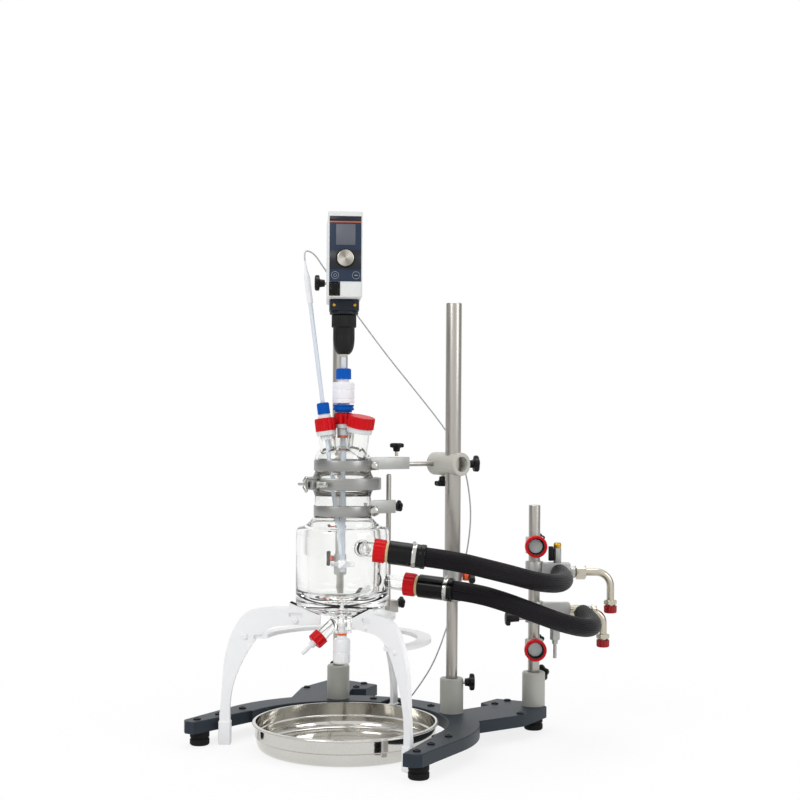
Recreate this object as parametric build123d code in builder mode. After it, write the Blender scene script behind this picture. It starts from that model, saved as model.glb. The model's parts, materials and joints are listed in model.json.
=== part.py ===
from build123d import *
import os
from math import cos, pi, radians, sin, tan

os.makedirs("parts", exist_ok=True)

# Jacketed glass synthesis reactor on a white three-legged stand.
# A horseshoe base carries two telescopic columns and a hose column.
# Millimetres, +Z up, bench at Z = 0, operator on the -Y side.

# Place of the vessel's axis, from the middle of the whole footprint
VESSEL_X = -135.0
VESSEL_Y = -84.0

# Compass directions round the vessel's axis, in degrees from +X
REAR_ANGLE = 90.0
SIDE_ANGLE = 20.0
OPEN_AXIS_ANGLE = (REAR_ANGLE + SIDE_ANGLE) / 2
ARM_ANGLE = 28.6
CLAMP_ANGLE = -56.0
LEG_ANGLES = (60.0, 170.0, -60.0)
DRAIN_ANGLE = 200.0
RIGHT_NECK_ANGLE = -47.0
LEVER_SIDE_ANGLE = -4.0
CLAMP_BOLT_ANGLE = 229.0

# Clearances
RUNNING = 0.06
SEATED = 0.15
LOOSE = 0.3

# Radius of the stand's feet; the plate's ring and its mouth go round them
LEG_FOOT_R = 232.5

# Base plate
PLATE_BOTTOM = 27.0
PLATE_THICK = 24.0
RING_WIDE = 62.0
RING_INNER = LEG_FOOT_R - 23.5
RING_OUTER = RING_INNER + RING_WIDE
RING_MIDDLE = RING_INNER + RING_WIDE / 2
ARM_REACH = 163.0
MOUTH_STEP = 5.0
MOUTH_FLARE = 45.0
ARM_CORNER = 20.0
PLATE_EDGE = 1.5
NOTCH_WIDE = 40.0
NOTCH_DEEP = 44.0

# Radii of the three columns
COLUMN_RADIUS = RING_MIDDLE + 4.5
MAIN_COLUMN_RADIUS = RING_MIDDLE
HOSE_COLUMN_RADIUS = 430.0

# Outline of a plate extension: out from the ring's middle or from the hose column, and inward
EXTENSION_ROOT = [(-15, -102), (2, -102)]
EXTENSION_END = [(-67, -79), (20, -20), (12, 33), (-38, 91), (-90, 64), (-88, 33)]
EXTENSION_HEEL = [(35, 17), (-15, 17)]
EXTENSION = [(RING_MIDDLE + out, inward) for out, inward in EXTENSION_ROOT]
EXTENSION += [(HOSE_COLUMN_RADIUS + out, inward) for out, inward in EXTENSION_END]
EXTENSION += [(RING_MIDDLE + out, inward) for out, inward in EXTENSION_HEEL]

# Feet and the black screws in the plate
FOOT_D = 38.8
ARM_FOOT_R = RING_OUTER + 10
REAR_FOOT_R = HOSE_COLUMN_RADIUS + 2
FOOT_PLACES = [(ARM_FOOT_R, 117.1), (ARM_FOOT_R, -117.1), (REAR_FOOT_R, 34.6), (REAR_FOOT_R, -34.6)]
SCREW_HEAD_D = 15.0
SCREW_HEAD_PROUD = 3.0
SCREW_DEEP = 10.0
SCREW_PLACES = [(RING_MIDDLE + 1, turn) for turn in (17, -17, 90.5, -90.5)]
SCREW_PLACES += [(RING_MIDDLE + 16, 107), (RING_MIDDLE + 16, -107)]
SCREW_PLACES += [(RING_OUTER + 14, 118.5), (RING_OUTER + 14, -118.5)]
EXTENSION_SCREWS = [(HOSE_COLUMN_RADIUS + out, inward) for out, inward in ((-68, 43), (-68, -66), (-28, 62))]

# Columns
SOCKET_D = 47.4
SOCKET_TALL = 70.0
SOCKET_FLOOR = 8.0
SOCKET_SCREW_UP = 61.0
LOWER_ROD_D = 23.0
HOSE_ROD_D = 24.0
UPPER_TUBE_D = 32.0
UPPER_TUBE_WALL = 4.0
COLLAR_D = 40.0
COLLAR_TALL = 64.0
COLLAR_SEAT = 8.0
MAIN_COLLAR_Z = 277.0
REAR_COLLAR_Z = 301.0
MAIN_ROD_TOP = 520.0
REAR_ROD_TOP = 640.0
MAIN_TUBE_TOP = 881.0
REAR_TUBE_TOP = 1000.0
HOSE_ROD_TOP = 468.0
LEVER_DOWN = 14.0

# Star knobs and clamp levers
KNOB_D = 35.0
KNOB_HEAD = 13.0
KNOB_HUB = 9.0
KNOB_SCREW_D = 8.0
KNOB_STANDOFF = 3.0
SMALL_KNOB = 0.68
LEVER_HUB_D = 19.0
LEVER_BAR_D = 14.0
LEVER_BAR_LONG = 47.0

# Cross clamp and the two arms that hold the glass
CROSS_Z = 554.5
CROSS_D = 47.0
CROSS_FRONT = 27.5
CROSS_REAR = 57.5
CROSS_MOUTH_D = 31.0
ARM_ROD_D = 10.0
ARM_ROD_START = 118.0
ARM_ROD_END = MAIN_COLUMN_RADIUS + 22
BLOCK_WIDE = 18.0
LID_BAND_Z = (542.0, 565.0)
LID_BLOCK_END = 150.0
NECK_BAND_Z = (455.0, 475.0)
NECK_BLOCK_Z = (457.0, 483.0)
NECK_BLOCK_END = 118.0
BAND_THICK = 1.2
BAND_GAP = 0.8
SIDE_ROD_RADIUS = 106.0
SIDE_ROD_TOP = 535.0
SIDE_BLOCK_Z = (258.0, 282.0)
SIDE_PLATE_LOW = 236.0
SIDE_PLATE_THICK = 5.0

# Glass vessel
JACKET_D = 182.0
JACKET_WALL = 4.0
INNER_R = 70.0
INNER_WALL = 3.5
NECK_D = 110.0
NECK_WALL = 5.0
FLANGE_R = 67.5
FLANGE_PLANE = 518.0
FLANGE_STRAIGHT = 4.0
FLANGE_CONE = 14.0
SHOULDER_Z = 420.0
SHOULDER_TOP = 434.0
JACKET_LOW = 292.0
CRADLE_R = 43.0
CRADLE_Z = 262.0
CRADLE_RISE = 24.0 / 61.0
OUTLET_R = 19.0
OUTLET_BOTTOM = 226.0
OUTLET_BORE_R = 8.0
PORT_R = 14.0
PORT_WALL = 2.5
UPPER_PORT_REACH = 110.0

# Lid, its necks and its fittings
SEAL_THICK = 2.0
LID_DOME_Z = 567.0
LID_TOP = 592.0
CENTRE_NECK_R = 14.5
CENTRE_NECK_TOP = 652.0
CENTRE_BORE_R = 12.3
PROBE_SEAT = (-28.9, -19.5, 582.0)
PROBE_TOP = (-77.0, -9.6, 952.0)
PROBE_NECK_R = 16.0
PROBE_NECK_LONG = 62.0
RIGHT_NECK_R = 21.5
RIGHT_NECK_OFFSET = 35.5
RIGHT_NECK_TILT = 13.0
RIGHT_NECK_LONG = 58.0
WIDE_CAP_D = 54.0
WIDE_CAP_TALL = 29.0

# Stirrer
SHAFT_D = 10.0
SHAFT_BOTTOM = 344.0
SHAFT_TOP = 812.0
IMPELLER_Z = 360.0
IMPELLER_D = 47.0
IMPELLER_TALL = 14.0
BLADES = 4
BLADE_PITCH = 45.0

# Stirrer motor
MOTOR_WIDE = 66.0
MOTOR_FRONT = 65.0
MOTOR_BACK = 125.0
MOTOR_BOTTOM = 877.0
MOTOR_TOP = 1043.0
NOSE_BOTTOM = 848.0
NOSE_D = 58.0
CHUCK_BOTTOM = 770.6
CHUCK_GAP = 0.8
PANEL_WIDE = 61.0
PANEL_LOW = 911.0
PANEL_TALL = 124.0
PANEL_THICK = 1.2
DIAL_Z = 951.0
DIAL_D = 33.0
SWITCH_Z = 893.0
SWITCH_X = -20.5
SWITCH_WIDE = 16.0
BRACKET_Z = 934.0
BRACKET_ROD_D = 13.0

# Stand
LEG_THICK = 8.0
CAP_SIZE = (24.0, 16.0, 47.0)
PAD_THICK = 2.7
PAD_WIDE = 11.0
UPPER_RING = (78.0, 105.0, 255.0)
LOWER_RING = (LEG_FOOT_R - 84.5, LEG_FOOT_R - 57.5, 210.0)
RING_THICK = 7.5

# Drip pan
PAN_R = 182.5
PAN_WALL_R = 177.0
PAN_FLOOR_R = 173.0
PAN_TALL = 49.0
PAN_SHEET = 1.2
PAN_CORNER = 26.0
PAN_SHIFT = 8.0

# Hoses, in the part's own frame
HOSE_D = 40.0
SLEEVE_D = 43.0
SLEEVE_LONG = 62.0
UPPER_ROUTE = [(15, -204, 385), (73, -214, 378), (129, -210, 364), (185, -192, 349), (229, -165, 337),
               (270, -127, 329), (299, -78, 327), (315, -22, 328), (317, 35, 329)]
LOWER_ROUTE = [(64, -154, 318), (116, -172.3, 313), (172, -176, 297), (229, -166, 275), (284, -143, 254),
               (330, -101, 241), (356, -44, 243), (365, 31, 246)]
HOSE_NUT_D = 45.0
HOSE_NUT_LONG = 36.0

# Probe cable, in the part's own frame
CABLE_D = 3.0
CABLE_ROUTE = [(-212, -93.6, 952), (-214.3, -93.1, 970), (-204, -58, 984), (-190, -10, 980), (-178, 32, 966),
               (-165, 63, 945), (-146, 75, 917), (-124, 79, 888), (-102, 77, 859), (-42, 62, 777),
               (18, 45, 702), (78, 29, 625), (103, 29, 582), (120, 28, 537), (128, 26, 492), (131, 24, 446),
               (127, 23, 398), (118, 22, 350), (107, 23, 303), (95, 24, 258), (81, 26, 214), (68, 34, 172),
               (53, 51, 132), (34, 75, 95), (18, 92, 68), (10, 101, 56.4), (8, 114, 56.2)]
PLUG_D = 9.0
PLUG_LONG = 30.0

# Hose manifolds, across (to the right) and forward of the hose column
MANIFOLD_ANGLE = -4.0
MANIFOLD_TALL = 44.0
MANIFOLD_DEEP = 30.0
MANIFOLD_START = 14.0
UPPER_MANIFOLD_Z = 329.0
LOWER_MANIFOLD_Z = 246.0
UPPER_MANIFOLD_END = 74.0
LOWER_MANIFOLD_END = 108.0
MANIFOLD_COLLAR_D = 37.0
VENT_ACROSS = 53.0
VENT_VALVE_UP = 29.0
DRAIN_ACROSS = 44.0
DRAIN_VALVE_Z = 212.0
ELBOW_D = 16.0
ELBOW_BEND = 30.0
UPPER_ELBOW_REACH = 159.0
LOWER_ELBOW_REACH = 144.0
ELBOW_DROP = 28.0
PARKING_Z = (384.5, 171.4)
PARKING_REACH = 46.0
VALVE_LEVER_LONG = 34.0


def around(angle, radius, height=0.0):
    """A point at a compass angle and radius round the vessel's axis."""
    across = VESSEL_X + radius * cos(radians(angle))
    back = VESSEL_Y + radius * sin(radians(angle))
    return Vector(across, back, height)


def facing(point, angle):
    """A plane at a point, whose normal is level and points at a compass angle."""
    turn = radians(angle)
    return Plane(origin=point, x_dir=(-sin(turn), cos(turn), 0), z_dir=(cos(turn), sin(turn), 0))


def level(point, angle=0.0):
    """A level plane at a point, with its x direction at a compass angle."""
    turn = radians(angle)
    return Plane(origin=point, x_dir=(cos(turn), sin(turn), 0), z_dir=(0, 0, 1))


def upright(point, angle):
    """A radial plane: x points outwards at the compass angle and y points up."""
    turn = radians(angle)
    return Plane(origin=point, x_dir=(cos(turn), sin(turn), 0), z_dir=(sin(turn), -cos(turn), 0))


def save(part, name):
    """Label a finished sub-part and write it."""
    part.label = name
    export_step(part, f"parts/{name}.step")


def turned(points, plane):
    """A solid turned from (radius, height) points about a plane's normal."""
    side = Plane(origin=plane.origin, x_dir=plane.x_dir, z_dir=plane.x_dir.cross(plane.z_dir))
    with BuildPart(mode=Mode.PRIVATE) as body:
        with BuildSketch(side):
            with BuildLine():
                Polyline(*points, close=True)
            make_face()
        revolve(axis=Axis(plane.origin, plane.z_dir), revolution_arc=360)
    return body.part


def rod(start, end, diameter):
    """A straight round bar between two points."""
    run = Vector(end) - Vector(start)
    with BuildPart(mode=Mode.PRIVATE) as bar:
        with BuildSketch(Plane(origin=start, z_dir=run)):
            Circle(diameter / 2)
        extrude(amount=run.length)
    return bar.part


def tangent_path(points):
    """Straight runs joined by the largest arcs that they leave room for."""
    places = [Vector(*p) for p in points]
    radii = []
    for before, here, after in zip(places, places[1:], places[2:]):
        turn = (here - before).get_angle(after - here)
        shorter = min((here - before).length, (after - here).length)
        radii.append(0.45 * shorter / tan(radians(turn / 2)))
    with BuildLine(mode=Mode.PRIVATE) as path:
        FilletPolyline(*places, radius=radii)
    return path.wires()[0], radii


def free_tube(points, diameter, name):
    """A cord or hose: a round tube swept along its route."""
    wire, radii = tangent_path(points)
    with BuildPart() as tube:
        with BuildSketch(Plane(origin=wire @ 0, z_dir=wire % 0)):
            Circle(diameter / 2)
        sweep(path=wire)
    share = tube.part.volume / (pi * diameter**2 / 4 * wire.length)
    print(f"{name}: length {wire.length:.0f}, volume share {share:.4f}, radii", [round(r) for r in radii])
    return tube.part


def star_knob(plane, screw_long, size=1.0):
    """A five-lobed knob on its screw; the plane lies on the wall that the screw goes into."""
    with BuildPart() as knob:
        with BuildSketch(plane.offset(-screw_long)):
            Circle(KNOB_SCREW_D / 2 * size)
        extrude(amount=screw_long + KNOB_STANDOFF)
        with BuildSketch(plane.offset(KNOB_STANDOFF)):
            Circle(KNOB_D * 0.27 * size)
        extrude(amount=KNOB_HUB * size, taper=-4)
        with BuildSketch(plane.offset(KNOB_STANDOFF + KNOB_HUB * size)):
            Circle(KNOB_D * 0.36 * size)
            with PolarLocations(KNOB_D * 0.36 * size, 5):
                Circle(KNOB_D * 0.14 * size)
        extrude(amount=KNOB_HEAD * size)
    return knob.part


def clamp_lever(plane, screw_long, bar_angle):
    """A T-handled clamp lever; the bar lies across the plane's normal at the given turn."""
    with BuildPart() as lever:
        with BuildSketch(plane.offset(-screw_long)):
            Circle(KNOB_SCREW_D / 2)
        extrude(amount=screw_long + 1)
        with BuildSketch(plane.offset(0.5)):
            Circle(LEVER_HUB_D * 0.46)
        extrude(amount=4)
        with BuildSketch(plane.offset(4.5)):
            Circle(LEVER_HUB_D / 2)
        extrude(amount=9)
        across = plane.x_dir * cos(radians(bar_angle)) + plane.y_dir * sin(radians(bar_angle))
        middle = plane.origin + plane.z_dir * (12.0 + LEVER_BAR_D / 2)
        with BuildSketch(Plane(origin=middle - across * (LEVER_BAR_LONG / 2), z_dir=across)):
            Circle(LEVER_BAR_D / 2)
        extrude(amount=LEVER_BAR_LONG)
    return lever.part


VESSEL = Vector(VESSEL_X, VESSEL_Y, 0)
REAR_COLUMN = around(REAR_ANGLE, COLUMN_RADIUS)
MAIN_COLUMN = around(SIDE_ANGLE, MAIN_COLUMN_RADIUS)
HOSE_COLUMN = around(SIDE_ANGLE, HOSE_COLUMN_RADIUS)
PLATE_TOP = PLATE_BOTTOM + PLATE_THICK
AXIS_PLANE = level(VESSEL, OPEN_AXIS_ANGLE)
COLUMN_FLOOR = PLATE_TOP + SOCKET_FLOOR


def plate_point(radius, angle):
    """A point of the base plate, by its radius and its angle from the plate's middle line."""
    return (radius * cos(radians(angle)), radius * sin(radians(angle)))


def extension_point(out, inward, side):
    """A point of a plate extension: out along its column line, inward to the middle line."""
    half = radians((REAR_ANGLE - SIDE_ANGLE) / 2)
    along = out * cos(half) + inward * sin(half)
    across = out * sin(half) - inward * cos(half)
    return (along, side * across)


# Base plate: a horseshoe open at the front left, with a hooked extension behind each column
with BuildPart() as base_plate:
    with BuildSketch(AXIS_PLANE.offset(PLATE_BOTTOM)) as outline:
        Circle(RING_OUTER)
        with Locations((-ARM_REACH / 2, 0)):
            Rectangle(ARM_REACH, 2 * RING_OUTER)
        for side in (1, -1):
            Polygon(*[extension_point(out, inward, side) for out, inward in EXTENSION], align=None)
        Circle(RING_INNER, mode=Mode.SUBTRACT)
        near = RING_INNER + MOUTH_STEP
        far = RING_INNER + MOUTH_FLARE
        Polygon((-10, near), (-RING_OUTER, far), (-RING_OUTER, -far), (-10, -near), align=None, mode=Mode.SUBTRACT)
        with Locations((-ARM_REACH - RING_OUTER / 2, 0)):
            Rectangle(RING_OUTER, 3 * RING_OUTER, mode=Mode.SUBTRACT)
        notch_turn = LEG_ANGLES[0] - OPEN_AXIS_ANGLE
        with Locations(Location((*plate_point(RING_INNER, notch_turn), 0), (0, 0, notch_turn))):
            Rectangle(2 * NOTCH_DEEP, NOTCH_WIDE, mode=Mode.SUBTRACT)
    extrude(amount=PLATE_THICK)
    corners = [e for e in base_plate.edges().filter_by(Axis.Z)
               if (e.center() - VESSEL).dot(AXIS_PLANE.x_dir) < 1 - ARM_REACH
               and abs((e.center() - VESSEL).dot(AXIS_PLANE.y_dir)) > RING_OUTER - 1]
    chamfer(corners, ARM_CORNER * 0.6)
    chamfer(base_plate.faces().sort_by(Axis.Z)[-1].outer_wire().edges(), PLATE_EDGE)
    top = AXIS_PLANE.offset(PLATE_TOP)
    spots = [plate_point(radius, angle) for radius, angle in SCREW_PLACES]
    spots += [extension_point(out, inward, side) for out, inward in EXTENSION_SCREWS for side in (1, -1)]
    with BuildSketch(top):
        with Locations(*spots):
            Circle(SCREW_HEAD_D / 2 + SEATED)
    extrude(amount=-SCREW_DEEP, mode=Mode.SUBTRACT)
save(base_plate.part, "base_plate")

# Rubber feet, face to face with the plate
with BuildPart() as base_feet:
    with BuildSketch(AXIS_PLANE):
        with Locations(*[plate_point(radius, angle) for radius, angle in FOOT_PLACES]):
            Circle(FOOT_D / 2)
    extrude(amount=PLATE_BOTTOM)
    chamfer(base_feet.faces().group_by(Axis.Z)[0].edges(), 1.5)
save(base_feet.part, "base_feet")

# Black socket screws in the plate
with BuildPart() as base_screws:
    with BuildSketch(top.offset(-SCREW_DEEP)):
        with Locations(*spots):
            Circle(SCREW_HEAD_D / 2)
    extrude(amount=SCREW_DEEP + SCREW_HEAD_PROUD)
    with BuildSketch(top.offset(SCREW_HEAD_PROUD)):
        with Locations(*spots):
            RegularPolygon(SCREW_HEAD_D * 0.27, 6)
    extrude(amount=-SCREW_HEAD_PROUD, mode=Mode.SUBTRACT)
save(base_screws.part, "base_screws")

# Column sockets, each with a blind bore and a screw hole in its side
SOCKETS = {
    "rear": (REAR_COLUMN, LOWER_ROD_D, 90.0),
    "main": (MAIN_COLUMN, LOWER_ROD_D, LEVER_SIDE_ANGLE),
    "hose": (HOSE_COLUMN, HOSE_ROD_D, 57.0),
}
with BuildPart() as column_sockets:
    for column, rod_d, knob_angle in SOCKETS.values():
        with BuildSketch(level(column + (0, 0, PLATE_TOP))):
            Circle(SOCKET_D / 2)
        extrude(amount=SOCKET_TALL)
    chamfer(column_sockets.faces().group_by(Axis.Z)[-1].edges(), 1.5)
    for column, rod_d, knob_angle in SOCKETS.values():
        with BuildSketch(level(column + (0, 0, COLUMN_FLOOR))):
            Circle(rod_d / 2 + SEATED)
        extrude(amount=SOCKET_TALL, mode=Mode.SUBTRACT)
        screw = facing(column + (0, 0, PLATE_TOP + SOCKET_SCREW_UP), knob_angle)
        with BuildSketch(screw):
            Circle(KNOB_SCREW_D / 2 + RUNNING)
        extrude(amount=SOCKET_D, mode=Mode.SUBTRACT)
save(column_sockets.part, "column_sockets")

# Star knobs that lock the columns in their sockets
for name, (column, rod_d, knob_angle) in SOCKETS.items():
    seat = facing(column + (0, 0, PLATE_TOP + SOCKET_SCREW_UP), knob_angle).offset(SOCKET_D / 2)
    save(star_knob(seat, (SOCKET_D - rod_d) / 2 - 2 * SEATED), f"{name}_socket_knob")

# Fixed column rods, standing on the floors of their sockets
ROD_TOPS = {"rear": REAR_ROD_TOP, "main": MAIN_ROD_TOP, "hose": HOSE_ROD_TOP}
with BuildPart() as column_rods:
    for name, (column, rod_d, knob_angle) in SOCKETS.items():
        with BuildSketch(level(column + (0, 0, COLUMN_FLOOR))):
            Circle(rod_d / 2)
        extrude(amount=ROD_TOPS[name] - COLUMN_FLOOR)
save(column_rods.part, "column_rods")


def collar(column, low, lever_angle):
    """Clamp collar: slides on the lower rod and carries the upper tube in its top."""
    with BuildPart() as ring:
        with BuildSketch(level(column + (0, 0, low))):
            Circle(COLLAR_D / 2)
            Circle(LOWER_ROD_D / 2 + RUNNING, mode=Mode.SUBTRACT)
        extrude(amount=COLLAR_TALL)
        with BuildSketch(level(column + (0, 0, low + COLLAR_TALL))):
            Circle(UPPER_TUBE_D / 2 + SEATED)
        extrude(amount=-COLLAR_SEAT, mode=Mode.SUBTRACT)
        chamfer(ring.faces().sort_by(Axis.Z)[0].outer_wire().edges(), 1.5)
        with BuildSketch(facing(column + (0, 0, low + COLLAR_TALL - LEVER_DOWN), lever_angle)):
            Circle(KNOB_SCREW_D / 2 + RUNNING)
        extrude(amount=COLLAR_D, mode=Mode.SUBTRACT)
    return ring.part


def upper_tube(column, low, high):
    """Upper column tube with its plug at the top."""
    with BuildPart() as tube:
        with BuildSketch(level(column + (0, 0, low))):
            Circle(UPPER_TUBE_D / 2)
            Circle(UPPER_TUBE_D / 2 - UPPER_TUBE_WALL, mode=Mode.SUBTRACT)
        extrude(amount=high - low)
        with BuildSketch(level(column + (0, 0, high))):
            Circle(UPPER_TUBE_D / 2)
        extrude(amount=-6)
        chamfer(tube.faces().sort_by(Axis.Z)[-1].edges(), 1)
    return tube.part


# Telescopic columns: the upper tube and its collar slide on the lower rod
TELESCOPES = {
    "rear": (REAR_COLUMN, REAR_COLLAR_Z, REAR_TUBE_TOP, 176.0, 90.0),
    "main": (MAIN_COLUMN, MAIN_COLLAR_Z, MAIN_TUBE_TOP, LEVER_SIDE_ANGLE, 20.0),
}
for name, (column, low, high, lever_angle, bar_angle) in TELESCOPES.items():
    save(collar(column, low, lever_angle), f"{name}_collar")
    save(upper_tube(column, low + COLLAR_TALL - COLLAR_SEAT, high), f"{name}_tube")
    seat = facing(column + (0, 0, low + COLLAR_TALL - LEVER_DOWN), lever_angle).offset(COLLAR_D / 2)
    save(clamp_lever(seat, (COLLAR_D - LOWER_ROD_D) / 2 - 2 * SEATED, bar_angle), f"{name}_lever")

# Cross clamp: a short drum round the main tube, with a hole for the arm's rod
CROSS_MIDDLE = MAIN_COLUMN + (0, 0, CROSS_Z)
CROSS_PLANE = facing(CROSS_MIDDLE, CLAMP_ANGLE)
ARM_START = around(ARM_ANGLE, ARM_ROD_START, CROSS_Z)
ARM_END = around(ARM_ANGLE, ARM_ROD_END, CROSS_Z)
ARM_CROSSING = around(ARM_ANGLE, MAIN_COLUMN_RADIUS * cos(radians(ARM_ANGLE - SIDE_ANGLE)), CROSS_Z)
SIDE_KNOB_ANGLE = 6.0
with BuildPart() as cross_clamp:
    with BuildSketch(CROSS_PLANE.offset(-CROSS_REAR)):
        Circle(CROSS_D / 2)
    extrude(amount=CROSS_REAR + CROSS_FRONT)
    chamfer(cross_clamp.faces().sort_by(SortBy.AREA)[0:2].edges(), 1.2)
    with BuildSketch(CROSS_PLANE):
        Circle(CROSS_MOUTH_D / 2)
    extrude(amount=CROSS_FRONT, mode=Mode.SUBTRACT)
    with BuildSketch(level(CROSS_MIDDLE - (0, 0, CROSS_D))):
        Circle(UPPER_TUBE_D / 2 + RUNNING)
    extrude(amount=2 * CROSS_D, mode=Mode.SUBTRACT)
    with BuildSketch(facing(ARM_START, ARM_ANGLE)):
        Circle(ARM_ROD_D / 2 + SEATED)
    extrude(amount=ARM_ROD_END, mode=Mode.SUBTRACT)
    with BuildSketch(level(ARM_CROSSING)):
        Circle(KNOB_SCREW_D / 2 + RUNNING)
    extrude(amount=-CROSS_D, mode=Mode.SUBTRACT)
    with BuildSketch(facing(CROSS_MIDDLE, SIDE_KNOB_ANGLE)):
        Circle(KNOB_SCREW_D / 2 + RUNNING)
    extrude(amount=CROSS_D, mode=Mode.SUBTRACT)
save(cross_clamp.part, "cross_clamp")

under = Plane(origin=ARM_CROSSING - (0, 0, CROSS_D / 2), x_dir=(1, 0, 0), z_dir=(0, 0, -1))
save(star_knob(under, (CROSS_D - ARM_ROD_D) / 2 - 2 * SEATED), "cross_clamp_knob")
SIDE_KNOB_OUT = CROSS_D / 2 / sin(radians(SIDE_KNOB_ANGLE - CLAMP_ANGLE))
beside = facing(CROSS_MIDDLE, SIDE_KNOB_ANGLE).offset(SIDE_KNOB_OUT + KNOB_SCREW_D / 2)
save(star_knob(beside, SIDE_KNOB_OUT + KNOB_SCREW_D / 2 - UPPER_TUBE_D / 2 - 2 * SEATED), "cross_clamp_side_knob")

# Round rods: the lid's arm, the upright beside the jacket, and the upright's foot block
BAND_R = NECK_D / 2 + BAND_GAP
ROD_FOOT = around(ARM_ANGLE, SIDE_ROD_RADIUS, SIDE_BLOCK_Z[0] + 12)
SIDE_SCREW_Z = SIDE_BLOCK_Z[0] + 18
with BuildPart() as support_rods:
    add(rod(ARM_START, ARM_END, ARM_ROD_D))
    add(rod(ROD_FOOT, around(ARM_ANGLE, SIDE_ROD_RADIUS, SIDE_ROD_TOP), ARM_ROD_D))
    fillet(support_rods.edges().group_by(Axis.Z)[-1], 3)
    foot = upright(VESSEL, ARM_ANGLE)
    plate_in = UPPER_RING[1] + SEATED
    with BuildSketch(foot.offset(-BLOCK_WIDE / 2)):
        with Locations((SIDE_ROD_RADIUS + 4, (SIDE_BLOCK_Z[0] + SIDE_BLOCK_Z[1]) / 2)):
            Rectangle(30, SIDE_BLOCK_Z[1] - SIDE_BLOCK_Z[0])
        with Locations((plate_in + SIDE_PLATE_THICK / 2, (SIDE_PLATE_LOW + SIDE_BLOCK_Z[1]) / 2)):
            Rectangle(SIDE_PLATE_THICK, SIDE_BLOCK_Z[1] - SIDE_PLATE_LOW)
        with Locations((plate_in - 10, SIDE_BLOCK_Z[0])):
            Rectangle(20, 4 * SIDE_PLATE_THICK, mode=Mode.SUBTRACT)
    block = extrude(amount=BLOCK_WIDE, mode=Mode.PRIVATE)
    bore = rod(ROD_FOOT, ROD_FOOT + (0, 0, 60), ARM_ROD_D + 2 * SEATED)
    tap = rod(around(ARM_ANGLE, SIDE_ROD_RADIUS, SIDE_SCREW_Z), around(ARM_ANGLE, 150, SIDE_SCREW_Z),
              KNOB_SCREW_D * SMALL_KNOB + 2 * RUNNING)
    add((block - bore) - tap)
save(support_rods.part, "support_rods")


def band_with_block(low, high, block_low, block_high, block_end):
    """A thin steel band round the glass neck, welded to a block that points along the arm."""
    with BuildPart() as band:
        with BuildSketch(level(VESSEL + (0, 0, low))):
            Circle(BAND_R + BAND_THICK)
        extrude(amount=high - low)
        with BuildSketch(upright(VESSEL, ARM_ANGLE).offset(-BLOCK_WIDE / 2)):
            with Locations(((BAND_R + block_end) / 2, (block_low + block_high) / 2)):
                Rectangle(block_end - BAND_R, block_high - block_low)
        extrude(amount=BLOCK_WIDE)
        with BuildSketch(level(VESSEL + (0, 0, low - 20))):
            Circle(BAND_R)
        extrude(amount=high - low + 40, mode=Mode.SUBTRACT)
    return band.part


# Steel bands on the lid and on the vessel's neck, with their clamp blocks
LID_BLOCK_Z = (544.6, 568.8)
LID_KNOB_RADIUS = 124.0
NECK_SCREW_Z = (NECK_BLOCK_Z[0] + NECK_BLOCK_Z[1]) / 2
with BuildPart() as support_bands:
    lid_band = band_with_block(*LID_BAND_Z, *LID_BLOCK_Z, LID_BLOCK_END)
    lid_bore = rod(ARM_START, ARM_END, ARM_ROD_D + 2 * SEATED)
    lid_tap_foot = around(ARM_ANGLE, LID_KNOB_RADIUS, CROSS_Z)
    lid_tap = rod(lid_tap_foot, lid_tap_foot + (0, 0, 40), KNOB_SCREW_D + 2 * RUNNING)
    add((lid_band - lid_bore) - lid_tap)
    neck_band = band_with_block(*NECK_BAND_Z, *NECK_BLOCK_Z, NECK_BLOCK_END)
    side_rod_low = around(ARM_ANGLE, SIDE_ROD_RADIUS, NECK_BAND_Z[0] - 20)
    neck_bore = rod(side_rod_low, side_rod_low + (0, 0, 80), ARM_ROD_D + 2 * SEATED)
    neck_tap = rod(around(ARM_ANGLE, SIDE_ROD_RADIUS, NECK_SCREW_Z), around(ARM_ANGLE, 150, NECK_SCREW_Z),
                   KNOB_SCREW_D * SMALL_KNOB + 2 * RUNNING)
    add((neck_band - neck_bore) - neck_tap)
save(support_bands.part, "support_bands")

lid_knob_seat = Plane(origin=lid_tap_foot + (0, 0, LID_BLOCK_Z[1] - CROSS_Z + 8), z_dir=(0, 0, 1))
save(star_knob(lid_knob_seat, LID_BLOCK_Z[1] - CROSS_Z + 8 - ARM_ROD_D / 2 - LOOSE, 0.85), "lid_arm_knob")
neck_seat = facing(around(ARM_ANGLE, NECK_BLOCK_END, NECK_SCREW_Z), ARM_ANGLE)
neck_screw = NECK_BLOCK_END - SIDE_ROD_RADIUS - ARM_ROD_D / 2 - LOOSE
save(star_knob(neck_seat, neck_screw, SMALL_KNOB), "neck_knob")
foot_seat = facing(around(ARM_ANGLE, SIDE_ROD_RADIUS + 19, SIDE_SCREW_Z), ARM_ANGLE)
save(star_knob(foot_seat, 19 - ARM_ROD_D / 2 - LOOSE, SMALL_KNOB), "side_rod_knob")

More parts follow.
